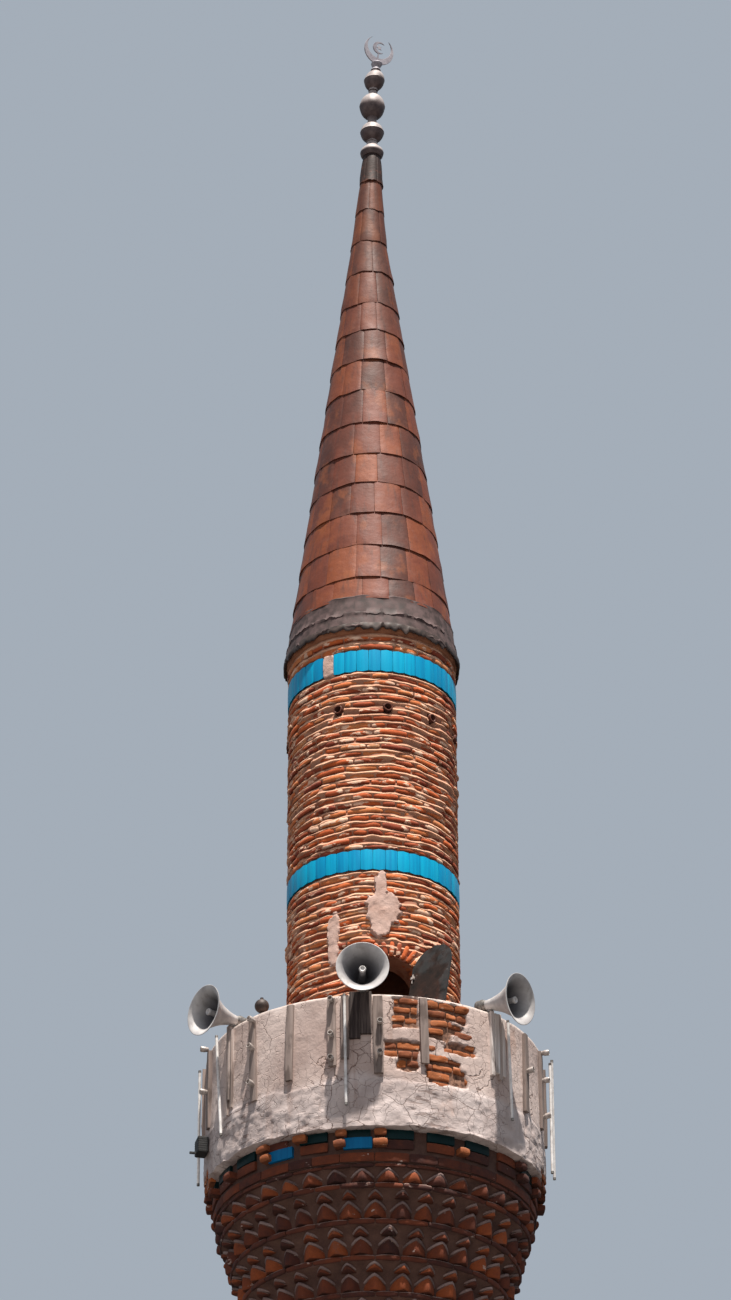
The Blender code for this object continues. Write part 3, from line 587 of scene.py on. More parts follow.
BRICK_STOPS = (0.12, 0.38, 0.6, 0.82, 0.98)
# Each brick look: material name, ramp colours, two mortar colours, smear threshold, and a dark colour for
# grimy patches and for painted shade on undersides.
BRICKS = {
    "brick": ("fired_brick", (0x8C381C, 0xB85024, 0xDC682A, 0xDE864C, 0xC8946C), (0xCFA084, 0xEEC8AC), 0.55,
              0x4A2014),
    "broken_brick": ("broken_brick", (0x6E3822, 0x92502E, 0xB4642F, 0xC0764A, 0xA47A5E), (0xA87C62, 0xC89C80),
                     0.64, 0x361C12),
    "shaft_brick": ("shaft_brick", (0x783822, 0xA04C2A, 0xC46432, 0xCC7E50, 0xB48C70), (0xBE9C86, 0xDCC0AA),
                    0.58, 0x3E1C12),
    "corbel_brick": ("corbel_brick", (0x48221A, 0x6A321E, 0x88401C, 0xA25022, 0x7A5648), (0x9C8074, 0xBFA69A),
                     0.66, 0x2A1410),
}
# Each mortar look: material name, two colours, a dark colour for painted shade through the deep field and for
# grimy patches, and the share of grime.
MORTARS = {
    "mortar": ("lime_mortar", 0xCA967A, 0xF0C09E, 0x70321A, 0.65),
    "shaft_mortar": ("shaft_mortar", 0xA08A78, 0xC9B4A0, 0x4A3428),
    "corbel_mortar": ("corbel_mortar", 0x4E342C, 0x745448, 0x22120E),
    "brow": ("mauve_mortar", 0x745C58, 0xA08A84, 0x34201C),
    "patch": ("white_plaster", 0xB29082, 0xCCAEA2, 0x6A4A3C),
    "cove": ("eaves_cove", 0x80503A, 0xA87050, 0x3A2018),
    "stone_mortar": ("stone_joint", 0x8E8270, 0xB4A890, 0x4A4034),
}
METALS = {
    "hem": ("lead_hem", 0x5E4947, 0x352522, 0x1E120E, 0.75, 0.05, 13.0),
    "pale_metal": ("pale_metal", 0xA8A2A8, 0x847E86, 0x5E585C, 0.55, 0.05, 14.0),
    "steel": ("galvanised_steel", 0x8C8884, 0x5E5854, 0x4A3020, 0.5, 0.5, 16.0),
    "black": ("black_metal", 0x1E1C1C, 0x0C0B0B, 0x3A2A22, 0.6, 0.1, 20.0),
    "brown_metal": ("brown_metal", 0x4A3A34, 0x2A201C, 0x1A1210, 0.6, 0.2, 20.0),
    "porcelain": ("white_porcelain", 0xB8AEA8, 0x8A7E78, 0x4E403A, 0.35, 0.0, 30.0),
    "tube": ("white_tube", 0xE2DEDC, 0xC4BEBA, 0x8A8078, 0.3, 0.0, 12.0),
}
GLAZES = {
    "glaze": ("turquoise_glaze", ((0.2, 0x0078AE), (0.42, 0x0090BE), (0.6, 0x00A0CA), (0.85, 0x04B0D4))),
    "blue_glaze": ("blue_glaze", ((0.2, 0x005C8E), (0.8, 0x0476A8))),
    # Teal glaze whose colours are darkened further as painted shade under the plaster's overhang.
    "shaded_teal_glaze": ("dark_teal_glaze", ((0.2, 0x041A1C), (0.8, 0x07282A))),
}
SHEET_STOPS = ((0.14, 0x3C2018), (0.38, 0x582A1D), (0.56, 0x6C3320), (0.74, 0x804020), (0.95, 0x683C2E))
STONE_STOPS = ((0.2, 0x847A6C), (0.45, 0x9E9484), (0.65, 0xB0A696), (0.9, 0xC2B9AA))


def make_looks():
    made = {key: brick_look(name, zip(BRICK_STOPS, codes), *rest)
            for key, (name, codes, *rest) in BRICKS.items()}
    for maker, rows in ((mortar_look, MORTARS), (metal_look, METALS), (glaze_look, GLAZES)):
        made.update({key: maker(*row) for key, row in rows.items()})
    made["plaster"] = plaster_look("old_plaster")
    made["sheet"] = sheet_look("red_brown_sheet", SHEET_STOPS)
    made["finial"] = finial_look("finial_metal")
    made["rust"] = rust_look("rusted_sheet")
    made["horn"] = horn_look("horn_paint")
    made["wood"] = wood_look("weathered_timber")
    made["stone"] = stone_look("pale_stone", STONE_STOPS, 0x5A4C3C)
    return made


# Camera, light and floor

def set_camera():
    data = bpy.data.cameras.new("camera")
    data.sensor_width = SENSOR
    data.lens = FOCAL_PIXELS * SENSOR / IMAGE_HEIGHT
    data.clip_end = 300.0
    camera = bpy.data.objects.new("camera", data)
    bpy.context.scene.collection.objects.link(camera)
    aim = spin(CAMERA_YAW, "Z") @ spin(90 + CAMERA_PITCH, "X")
    camera.matrix_world = Matrix.Translation(CAMERA_PLACE) @ aim @ spin(CAMERA_ROLL, "Z")
    bpy.context.scene.camera = camera


def add_sun(name, bearing, height, strength, tint, angle):
    data = bpy.data.lights.new(name, "SUN")
    data.energy = strength
    data.color = tint
    data.angle = radians(angle)
    lamp = bpy.data.objects.new(name, data)
    bpy.context.scene.collection.objects.link(lamp)
    away = Vector(polar(bearing, cos(radians(height)), sin(radians(height))))
    lamp.rotation_euler = away.to_track_quat("Z", "Y").to_euler()


def set_light():
    """A key and a bounce, in a world that is pale above the horizon and dim below it."""
    for sun in SUNS:
        add_sun(*sun)
    world = bpy.data.worlds.new("studio")
    world.use_nodes = True
    tree = world.node_tree
    place, split_place, shift, ramp = (
        tree.nodes.new("ShaderNode" + kind) for kind in ("TexCoord", "SeparateXYZ", "MapRange", "ValToRGB"))
    shift.inputs["From Min"].default_value = -1.0
    for mark, (position, tint) in zip(ramp.color_ramp.elements, WORLD_STOPS):
        mark.position = position
        mark.color = tint
    background = tree.nodes["Background"]
    background.inputs["Strength"].default_value = SKY_STRENGTH
    tree.links.new(place.outputs["Generated"], split_place.inputs[0])
    tree.links.new(split_place.outputs["Z"], shift.inputs["Value"])
    tree.links.new(shift.outputs["Result"], ramp.inputs["Fac"])
    tree.links.new(ramp.outputs["Color"], background.inputs["Color"])
    bpy.context.scene.world = world
    bpy.context.scene.view_settings.view_transform = "Standard"


def add_floor():
    look = Look("pale_floor", 0.9)
    base = look.ramp(look.noise(1.2, 4.0), (0.4, 0x8C8A86), (0.6, 0x94928E))
    points = polar(np.arange(0, 360, 5), FLOOR_RADIUS, -0.002)
    mesh = bpy.data.meshes.new("floor")
    mesh.from_pydata(points.tolist(), [], [tuple(range(len(points)))])
    mesh.materials.append(look.finish(base, look.noise(30.0), 0.1, 0.004))
    floor = bpy.data.objects.new("floor", mesh)
    bpy.context.scene.collection.objects.link(floor)


# Upper shaft

CALM_LEVELS = (FLOOR_TOP, *LOWER_BAND, *UPPER_BAND, BRICK_TOP)
STAGES = ((FLOOR_TOP, DOOR_STAGE_TOP), (DOOR_STAGE_TOP, LOWER_BAND[0]), (LOWER_BAND[1], UPPER_BAND[0]),
          (UPPER_BAND[1], BRICK_TOP))
# Places in one course, from the underside of its bricks up, and how far the mortar stands out there
MORTAR_PROFILE = ((0.04, -0.018), (0.52, -0.013), (0.64, 0.001), (0.96, -0.015))
BRICK_SHARE = 0.60
# Height of the arch bricks round the doorway's head
ARCH_RING = 0.158
SOCKET_LEVEL, SOCKET_RADIUS = 22.35, 0.045
SOCKET_BEARINGS = tuple(10.8 + 34.2 * k for k in (-5, -4, -3, -1, 0, 1, 2, 3, 4)) + (12.0 + 180.0,)


def wander(bearing, level):
    """How far the courses of the upper shaft wander up and down."""
    calm = np.min([abs(level - edge) for edge in CALM_LEVELS], axis=0)
    sway = 0.016 * lumps(polar(bearing, 1.0, level * 0.4), 0.4, 5)
    sway = sway + 0.009 * lumps(polar(bearing, 1.0, level), 0.11, 6)
    return np.clip(calm / 0.10, 0, 1) * sway


def arch_reach(level, half, spring, ring):
    """Half the width that a doorway and the ring of its arch take at a level."""
    rise = level - spring
    if rise < 0:
        return half
    return sqrt(ring**2 - rise**2) if rise < ring else 0.0


def door_reach(level):
    if level < ARCH_SPRING + 0.02:
        return DOOR_HALF
    return arch_reach(level, DOOR_HALF, ARCH_SPRING, DOOR_HALF + ARCH_RING + 0.012)


def stage_levels(low, high):
    count = max(1, round((high - low) / BRICK_PITCH))
    return [(low + k * (high - low) / count, (high - low) / count) for k in range(count)]


def upper_bricks(rng, low, high):
    """Rows of bricks between two levels, kept clear of the doorway and the putlog sockets."""
    rows = []
    for foot, pitch in stage_levels(low, high):
        level = foot + 0.5 * BRICK_SHARE * pitch
        reach = degrees(door_reach(level) / UPPER_RADIUS) if level < DOOR_STAGE_TOP else 0.0
        start = rng.uniform(0, 40)
        ends = (DOOR_BEARING + reach, DOOR_BEARING + 360 - reach) if reach else (start, start + 360)
        middles, lengths = course(rng, *ends, UPPER_RADIUS, (0.13, 0.37), 0.014)
        for k, (middle, length) in enumerate(zip(middles, lengths)):
            half = degrees(length / 2 / UPPER_RADIUS)
            away = min((aside(middle, b) for b in SOCKET_BEARINGS), key=abs)
            if abs(level - SOCKET_LEVEL) <= SOCKET_RADIUS + 0.012 and abs(away) < half + 1.5:
                middle += (1 if away > 0 else -1) * half * 0.5
                length *= 0.45
                if abs(away) < half * 0.4:
                    continue
            rise = BRICK_SHARE * pitch * rng.uniform(0.78, 1.22)
            lift = rng.normal(0.0, 0.0045) - (0.012 if rng.random() < 0.06 else 0.0)
            at_jamb = reach and k in (0, len(middles) - 1)
            rows.append((middle, level, length, rise, rng.normal(0.0, 0.5), lift, 0.14 if at_jamb else 0.035))
    return rows


def mortar_skin(stages, low, high, grooves, seed):
    """Points and faces of the mortar between the bricks, closed round the well, and its deep field of painted
    shade.
    """
    columns = 150
    bearings = np.arange(columns) * 360 / columns
    rows = [(low, UPPER_WELL - UPPER_RADIUS, 0.0), (low, -0.012, 0.0)]
    for foot, top in stages:
        for base, pitch in stage_levels(foot, top):
            rows += [(base + share * pitch, out, 1.0) for share, out in MORTAR_PROFILE]
        if top in grooves:
            rows += [(top + 0.002, -0.03, 0.0), (grooves[top] - 0.002, -0.03, 0.0)]
    rows += [(high, -0.012, 0.0), (high, UPPER_WELL - UPPER_RADIUS, 0.0)]
    levels, outs, sways = column(*rows)
    heights = levels + sways * wander(bearings[None], levels)
    surface = polar(bearings[None], UPPER_RADIUS, heights)
    bulge = 0.008 * rough(surface, 0.09, seed, 4)
    bulge = bulge + 0.016 * step(lumps(surface * (1, 1, 1.8), 0.17, seed + 3), 0.38, 0.70)
    bulge = bulge - 0.013 * step(lumps(surface * (1, 1, 1.6), 0.12, seed + 9), 0.25, 0.65)
    radii = UPPER_RADIUS + outs + sways * bulge
    for bearing in SOCKET_BEARINGS:
        away = radians(1) * UPPER_RADIUS * aside(bearings[None], bearing)
        radii = radii - 0.07 * (1 - step(np.hypot(away, heights - SOCKET_LEVEL), 0.030, 0.052))
    # Painted shade: mortar set back more than a few millimetres is darkened through the deep field.
    deep = np.broadcast_to(step(-outs, 0.004, 0.02), radii.shape).ravel()
    faces = grid_faces(len(rows), columns, join_rows=True)
    return polar(bearings[None], radii, heights).reshape(-1, 3), faces, deep


def upper_shaft():
    rng = np.random.default_rng(11)
    rows = [row for low, high in STAGES[1:] for row in upper_bricks(rng, low, high)]
    piece("upper_shaft_bricks", lay(rows, UPPER_RADIUS, BRICK_FORM, wander=wander, seed=12), "brick")
    grooves = dict([LOWER_BAND, UPPER_BAND])
    points, faces, deep = mortar_skin(STAGES[1:], DOOR_STAGE_TOP, BRICK_TOP, grooves, 13)
    piece("upper_shaft_mortar", (points, faces), "mortar", "upper_shaft", deep=deep)


def door_axes(points):
    """How far points lie across the balcony doorway and out through it, from the tower's axis."""
    turn = radians(DOOR_BEARING)
    x, y = points[..., 0], points[..., 1]
    return x * cos(turn) + y * sin(turn), x * sin(turn) - y * cos(turn)


def door_stage():
    rows = upper_bricks(np.random.default_rng(21), *STAGES[0])
    piece("door_stage_bricks", lay(rows, UPPER_RADIUS, BRICK_FORM, wander=wander, seed=22), "brick")
    points, faces, deep = mortar_skin(STAGES[:1], FLOOR_TOP, DOOR_STAGE_TOP, {}, 23)
    middles = points[faces].mean(axis=1)
    across, ahead = door_axes(middles)
    rise = np.maximum(middles[:, 2] - ARCH_SPRING, 0)
    faces = faces[(ahead <= 0) | (np.hypot(across, rise) >= DOOR_HALF + 0.012)]
    nodes = "door_stage_back_wall door_left_jamb door_right_jamb door_arch"
    piece("door_stage_mortar", (points, faces), "mortar", nodes, deep=deep)


# Radius of each row of the doorway's lining, and how much wider than the doorway it is
REVEAL_ROWS = ((UPPER_RADIUS - 0.022, 0.052), (UPPER_RADIUS - 0.012, 0.0), (0.74, 0.0), (0.66, 0.0),
               (UPPER_WELL - 0.002, 0.0))


def door_reveal():
    """The sides and soffit of the doorway through the wall."""
    steps = 24
    rises = [FLOOR_TOP + (ARCH_SPRING - FLOOR_TOP) * k / 18 for k in range(18)]
    outline = [(-DOOR_HALF, level) for level in rises]
    outline += [(-DOOR_HALF * cos(pi * k / steps), ARCH_SPRING + DOOR_HALF * sin(pi * k / steps))
                for k in range(steps + 1)]
    outline += [(DOOR_HALF, level) for level in rises[::-1]]
    across, levels = np.array(outline).T
    turn = radians(DOOR_BEARING)
    rows = []
    for radius, wider in REVEAL_ROWS:
        x = across * (1 + wider / DOOR_HALF)
        ahead = np.sqrt(radius**2 - x**2)
        z = levels + np.maximum(levels - ARCH_SPRING, 0) * wider / DOOR_HALF
        rows.append(np.stack([x * cos(turn) + ahead * sin(turn), x * sin(turn) - ahead * cos(turn), z],
                             axis=-1))
    points = np.array(rows)
    points = points + 0.006 * rough(points, 0.10, 24)[..., None] * np.array([cos(turn), sin(turn), 0.4])
    # Painted shade: the whole lining of the doorway is darkened through the deep field.
    piece("door_reveal", (points, grid_faces(len(rows), len(outline), join_columns=False)), "mortar",
          deep=0.95)


def arch_bricks():
    """Bricks on edge round the doorway's head."""
    count = 17
    rng = np.random.default_rng(25)
    ring = DOOR_HALF + 0.5 * ARCH_RING
    rows = []
    for k in range(count):
        angle = 180 * (k + 0.5) / count
        length = ARCH_RING * rng.uniform(0.92, 1.02)
        lift = rng.normal(0.015, 0.003)
        bearing = DOOR_BEARING + degrees(ring * cos(radians(angle)) / UPPER_RADIUS)
        level = ARCH_SPRING + ring * sin(radians(angle))
        rows.append((bearing, level, length, 0.043, angle + rng.normal(0, 2.0), lift, 0.12))
    piece("door_arch_bricks", lay(rows, UPPER_RADIUS, BRICK_FORM, seed=26), "brick")


def blotch(name, spots, radius, ragged, seed, power=2.0, sink=0.022):
    """A closed daub of plaster with a ragged outline, on a round wall.

    Each spot holds bearing, level, half width in degrees and half height; power squares the spots.
    """
    middles, reaches = np.array(spots)[:, :2], np.array(spots)[:, 2:] * 1.4
    low, high = (middles - reaches).min(axis=0), (middles + reaches).max(axis=0)
    columns, rows = (int(size / 0.009) for size in (radians(high[0] - low[0]) * radius, high[1] - low[1]))
    b, z = np.meshgrid(np.linspace(low[0], high[0], columns), np.linspace(low[1], high[1], rows))
    surface = polar(b, radius, z)
    shapes = [(abs((b - x) / width) ** power + abs((z - y) / height) ** power) ** (1 / power)
              for x, y, width, height in spots]
    away = np.min(shapes, axis=0)
    away = away + ragged * (0.7 * rough(surface, 0.16, seed) + 0.7 * rough(surface, 0.045, seed + 1))
    inside = step(1.0 - away, -0.02, 0.10)
    radii = radius - sink + (sink + 0.004) * inside + 0.005 * rough(surface, 0.05, seed + 2)
    faces = grid_faces(rows, columns, join_columns=False)
    faces = faces[inside.ravel()[faces].max(axis=1) > 0.02]
    rear = polar(b, radius - sink - 0.02, z).reshape(-1, 3)
    form, used = thickened(polar(b, radii, z).reshape(-1, 3), rear, faces)
    # Painted shade: where the daub sinks back into the wall at its ragged edge, it is darkened through the
    # deep field.
    piece(name, form, "patch", deep=np.tile((1 - inside).ravel()[used] * 0.5, 2))


def patches():
    spots = ((5.0, 20.45, 4.4, 0.15), (6.2, 20.23, 12.8, 0.18), (4.6, 20.07, 7.0, 0.11))
    blotch("plaster_patch", spots, UPPER_RADIUS + 0.019, 0.36, 31, power=3.0, sink=0.032)
    blotch("plaster_strip", ((-27.0, 19.94, 4.0, 0.28),), UPPER_RADIUS + 0.007, 0.30, 33, power=4.0)
    gap = ((sum(BAND_GAP) / 2, sum(UPPER_BAND) / 2, 4.2, 0.122),)
    blotch("band_gap_mortar", gap, UPPER_RADIUS + 0.001, 0.08, 36, power=8.0, sink=0.03)


def socket_pipes():
    """Clay-lined putlog sockets with a small broken lip, each closed inside by a dark disc as painted shade.
    """
    forms = []
    lip = SOCKET_RADIUS
    profile = [(lip - 0.004, -0.09), (lip, 0.0), (lip - 0.004, 0.012), (lip - 0.013, 0.012),
               (lip - 0.016, 0.0), (lip - 0.018, -0.09)]
    for k, bearing in enumerate(SOCKET_BEARINGS):
        aim = spin(bearing, "Z") @ spin(90, "X")
        seat = Matrix.Translation(Vector(polar(bearing, UPPER_RADIUS, SOCKET_LEVEL))) @ aim
        points, faces = turned(profile, 20, seat)
        forms.append((points + 0.004 * rough(points, 0.03, 30 + k)[:, None], faces))
        # Painted shade: a dark brick disc 5 cm inside each socket stands for the shade in the hole.
        forms.append(turned([(lip - 0.012, -0.05), (1e-5, -0.05)], 20, seat))
    piece("putlog_sockets", joined(*forms)[:2], "corbel_brick", tone=0.2)


def tile_band(name, levels, node, gap=None, phase=0.0, seed=40):
    """Glazed tiles set edge to edge in a groove of the shaft."""
    count = 44
    rng = np.random.default_rng(seed)
    length = 2 * pi * UPPER_RADIUS / count - 0.0015
    rows = []
    for k in range(count):
        bearing = -180 + phase + 360 * (k + 0.5) / count
        if not gap or not gap[0] - 1.0 < bearing < gap[1] + 1.0:
            rows.append((bearing, sum(levels) / 2 - 0.004, length, levels[1] - levels[0] - 0.006,
                         rng.normal(0, 0.3), 0.004 + rng.normal(0, 0.001), 0.022))
    tiles = lay(rows, UPPER_RADIUS, TILE_FORM, 0.002, 0.0006, corner=0.013, flat=True, seed=seed)
    piece(name, tiles, "glaze", node, sharp=25.0)


# Spire

SPIRE_JOINTS = (23.56, 23.82, 24.21, 24.61, 24.98, 25.35, 25.74, 26.15, 26.55, 26.94, 27.30, 27.72, 28.14,
                28.55, 28.93, 29.28)
TIP_PROFILE = ((28.14, 0.183), (28.62, 0.143), (28.91, 0.118), (29.16, 0.107), (29.28, 0.092))


def spire_radius(bearing, level):
    cone = SPIRE_RADIUS - SPIRE_SLOPE * (level - HEM_TOP)
    return np.where(level < SHELL_TOP, cone, np.interp(level, *zip(*TIP_PROFILE))) + 0 * bearing


def spire_wander(bearing, level):
    calm = np.clip((level - 23.6) / 0.2, 0, 1) * np.clip((29.25 - level) / 0.1, 0, 1)
    return calm * 0.022 * rough(polar(bearing, 0.6, level * 0.5), 0.22, 51)


def spire():
    rng = np.random.default_rng(52)
    rows = []
    for low, high in zip(SPIRE_JOINTS, SPIRE_JOINTS[1:]):
        middle = (low + high) / 2
        radius = float(spire_radius(0.0, middle))
        count = max(6, round(2 * pi * radius / (0.15 + 0.16 * radius)))
        start = rng.uniform(0, 360 / count)
        edges = start + (np.arange(count) + rng.uniform(-0.12, 0.12, count)) * 360 / count
        edges = np.append(edges, edges[0] + 360)
        for left, right in zip(edges, edges[1:]):
            length = radians(right - left) * radius - 0.001
            lift = -0.004 + rng.uniform(-0.0015, 0.0020)
            rows.append(((left + right) / 2, middle - 0.010, length, high - low + 0.020, 0.0, lift, 0.012))
    sheets = lay(rows, spire_radius, SHEET_FORM, 0.0025, 0.005, flare=0.009, wander=spire_wander, seed=53)
    piece("spire_sheets", bent(sheets), "sheet", "cone_shell cone_tip", sharp=30.0)
    profile = [(float(spire_radius(0.0, z)) - 0.014, z) for z in np.linspace(23.57, SPIRE_TOP, 60)]
    profile += [(0.04, SPIRE_TOP), (0.04, SHELL_TOP), (0.12, SHELL_TOP - 0.02), (SPIRE_RADIUS - 0.06, 23.57)]
    piece("spire_boarding", bent(turned(profile, 72)), "sheet", tone=0.05)


def ring_piece(name, profile, columns, look, nodes, wobble, seed, jag=0.0, slot=None, **fields):
    """A ring from (radius, level, share of wobble) rows, uneven all round.

    jag tears the rows of full share.
    """
    b = (np.arange(columns) * 360 / columns)[None]
    radii, levels, shares = column(*profile)
    surface = polar(b, radii, levels)
    radii = radii + shares * wobble * rough(surface, 0.16, seed, 4)
    levels = levels + shares * wobble * rough(surface, 0.13, seed + 5, 4)
    levels = levels + jag * (shares >= 1) * rough(polar(b, radii, 0 * levels), 0.055, seed + 9, 3)
    form = polar(b, radii, levels), grid_faces(len(profile), columns, join_rows=True)
    piece(name, form, look, nodes, slot, **(fields or {"tone": 0.4, "deep": 0.0}))


def eaves():
    wall = UPPER_RADIUS
    cove = [(UPPER_WELL, BRICK_TOP, 0), (wall - 0.012, BRICK_TOP, 0.3),
            (wall, BRICK_TOP + 0.008, 0.9), (wall + 0.007, BRICK_TOP + 0.022, 0.9),
            (wall + 0.014, BRICK_TOP + 0.038, 0.9), (wall + 0.020, EAVES_TOP - 0.004, 0.5),
            (wall + 0.020, EAVES_TOP, 0.3), (UPPER_WELL, EAVES_TOP, 0)]
    ring_piece("eaves_mortar", cove, 150, "cove", "eaves_cove", 0.008, 61)
    hem = [(0.725, 23.207, 0), (0.812, 23.209, 0.2), (0.824, 23.204, 0.6), (0.831, 23.197, 1),
           (0.838, 23.196, 1), (0.842, 23.206, 1), (0.838, 23.222, 1), (0.830, 23.236, 0.9),
           (0.829, 23.262, 0.5), (0.822, 23.310, 0.5), (0.816, 23.350, 0.6), (0.822, 23.360, 1),
           (0.817, 23.376, 1), (0.806, 23.384, 0.6), (0.800, 23.430, 0.5), (0.792, 23.500, 0.5),
           (0.786, 23.550, 0.6), (0.788, 23.568, 0.8), (0.776, 23.582, 0.5), (0.725, 23.582, 0)]
    ring_piece("spire_hem", hem, 360, "hem", "cone_hem", 0.014, 62, jag=0.030)
    lip = [(0.800, 23.202, 0), (0.832, 23.176, 1), (0.841, 23.174, 1), (0.845, 23.186, 1), (0.845, 23.212, 1),
           (0.838, 23.240, 0.8), (0.800, 23.216, 0)]
    ring_piece("spire_hem_lip", lip, 420, "brown_metal", "", 0.010, 63, jag=0.045, slot="lead_hem")


# Finial

NECK = 0.052


def globe_profile(low, high, radius, neck, steps=14):
    turn = acos(neck / radius)
    middle, reach = (low + high) / 2, (high - low) / 2
    angles = [-turn + 2 * turn * k / steps for k in range(steps + 1)]
    seam = [0.004 if k == steps // 2 else 0.0 for k in range(steps + 1)]
    return [(radius * cos(a) + lip, middle + reach * sin(a) / sin(turn)) for a, lip in zip(angles, seam)]


BELL = [(0.0, 29.28), (0.094, 29.28), (0.112, 29.30), (0.119, 29.325), (0.121, 29.337), (0.117, 29.35),
        (0.110, 29.37), (0.088, 29.395), (0.070, 29.415), (0.058, 29.44), (NECK, 29.465), (0.056, 29.472),
        (0.056, 29.482), (NECK, 29.49), (0.0, 29.49)]
LOW_GLOBE = [(0.0, 29.49), *globe_profile(29.49, 29.70, 0.119, NECK), (0.056, 29.706), (0.056, 29.716),
             (0.0, 29.72)]
MIDDLE_GLOBE = [(0.0, 29.72), (0.047, 29.72), (0.044, 29.75), (0.05, 29.775),
                *globe_profile(29.785, 30.07, 0.129, NECK), (0.045, 30.09), (0.044, 30.12), (0.0, 30.13)]
HIGH_GLOBE = [(0.0, 30.13), (0.05, 30.13), (0.047, 30.145), *globe_profile(30.155, 30.375, 0.104, 0.045),
              (0.040, 30.385), (0.040, 30.40), (0.0, 30.40)]
COLLAR = [(0.0, 30.40), (0.052, 30.40), (0.047, 30.41), (0.036, 30.43), (0.036, 30.44), (0.05, 30.46),
          (0.058, 30.478), (0.059, 30.486), (0.055, 30.494), (0.040, COLLAR_TOP), (0.0, COLLAR_TOP)]


def finial():
    parts = (("bell", BELL, "base_bell"), ("low_globe", LOW_GLOBE, "lower_globe"),
             ("mid_globe", MIDDLE_GLOBE, "middle_globe"), ("high_globe", HIGH_GLOBE, "upper_globe"))
    for seed, (name, profile, node) in enumerate(parts, start=71):
        points, faces = turned(profile, 56)
        dents = 0.0022 * rough(points, 0.07, seed)
        points[:, :2] *= (1 + dents / 0.1)[:, None]
        piece("finial_" + name, bent((points, faces)), "finial", "finial_" + node, sharp=28.0)


def crescent_outline(radius, middle, inner_radius, shift, opening, steps=44):
    """A crescent between two arcs, whose opening points along the given angle."""
    along = (radius**2 - inner_radius**2 + shift**2) / (2 * shift)
    outer_half = pi - acos(along / radius)
    inner_half = pi - acos((along - shift) / inner_radius)
    back = radians(opening) + pi
    outer = [back - outer_half + 2 * outer_half * k / steps for k in range(steps + 1)]
    inner = [back + inner_half - 2 * inner_half * k / steps for k in range(1, steps)]
    inner_x = shift * cos(radians(opening))
    inner_y = middle + shift * sin(radians(opening))
    points = [(radius * cos(a), middle + radius * sin(a)) for a in outer]
    return points + [(inner_x + inner_radius * cos(a), inner_y + inner_radius * sin(a)) for a in inner]


def plate(outline, narrower, half, matrix):
    """A flat plate with eased edges, from an outline and a slightly narrower one."""
    rows = [[(x, y, depth) for x, y in shape]
            for shape, depth in ((narrower, -half), (outline, -0.4 * half), (outline, 0.4 * half),
                                 (narrower, half))]
    count = len(outline)
    caps = np.array([np.arange(count)[::-1], np.arange(count) + 3 * count])
    return moved(np.array(rows).reshape(-1, 3), matrix), [grid_faces(4, count), caps]


def crescent():
    """The crescent on its collar, with a smaller crescent and a star inside it."""
    upright = spin(32.0, "Z") @ spin(90, "X")
    radius, inner, shift = 0.175, 0.142, 0.042
    middle = COLLAR_TOP - 0.014 + radius
    heart = middle + 0.035
    forms = []
    for size, place, hollow, offset, opening, half, ease in (
        (radius, middle, inner, shift, 90.0, 0.007, 0.002), (0.075, heart, 0.060, 0.024, 0.0, 0.006, 0.0015),
    ):
        narrower = crescent_outline(size - ease, place, hollow + ease, offset, opening)
        forms.append(plate(crescent_outline(size, place, hollow, offset, opening), narrower, half, upright))
    foot, head = middle + shift - inner - 0.01, heart - 0.065
    stem, thin = ([(-low, foot), (low, foot), (high, head), (-high, head)]
                  for low, high in ((0.008, 0.006), (0.007, 0.005)))
    forms.append(plate(stem, thin, 0.005, upright))
    stars = []
    for size in (1.0, 0.93):
        reach = [0.037 * size if k % 2 == 0 else 0.016 * size for k in range(10)]
        stars.append([(r * cos(pi + pi * k / 5), heart + r * sin(pi + pi * k / 5))
                      for k, r in enumerate(reach)])
    forms += [plate(*stars, 0.004, upright), turned(COLLAR, 40)]
    piece("finial_moon", bent(joined(*forms)[:2]), "pale_metal", "finial_crescent", sharp=30.0)


# Corbelled balcony

# Courses of noses in one tier: the brick's foot and top, the brow of mortar's top, how far the top
# edge falls at the ends, the step outwards, and the share of the pitch
LOWER_COURSE = (0.004, 0.126, 0.156, 0.060, 0.0, 0.94)
UPPER_COURSE = (0.168, 0.212, 0.238, 0.034, 0.065, 0.62)
TOP_COURSE = (0.004, 0.090, 0.116, 0.050, 0.0, 0.92)
# Foot and top of the band over the noses, and its step outwards
TIER_BAND, TOP_BAND = (0.240, 0.290, 0.080), (0.120, 0.156, 0.012)


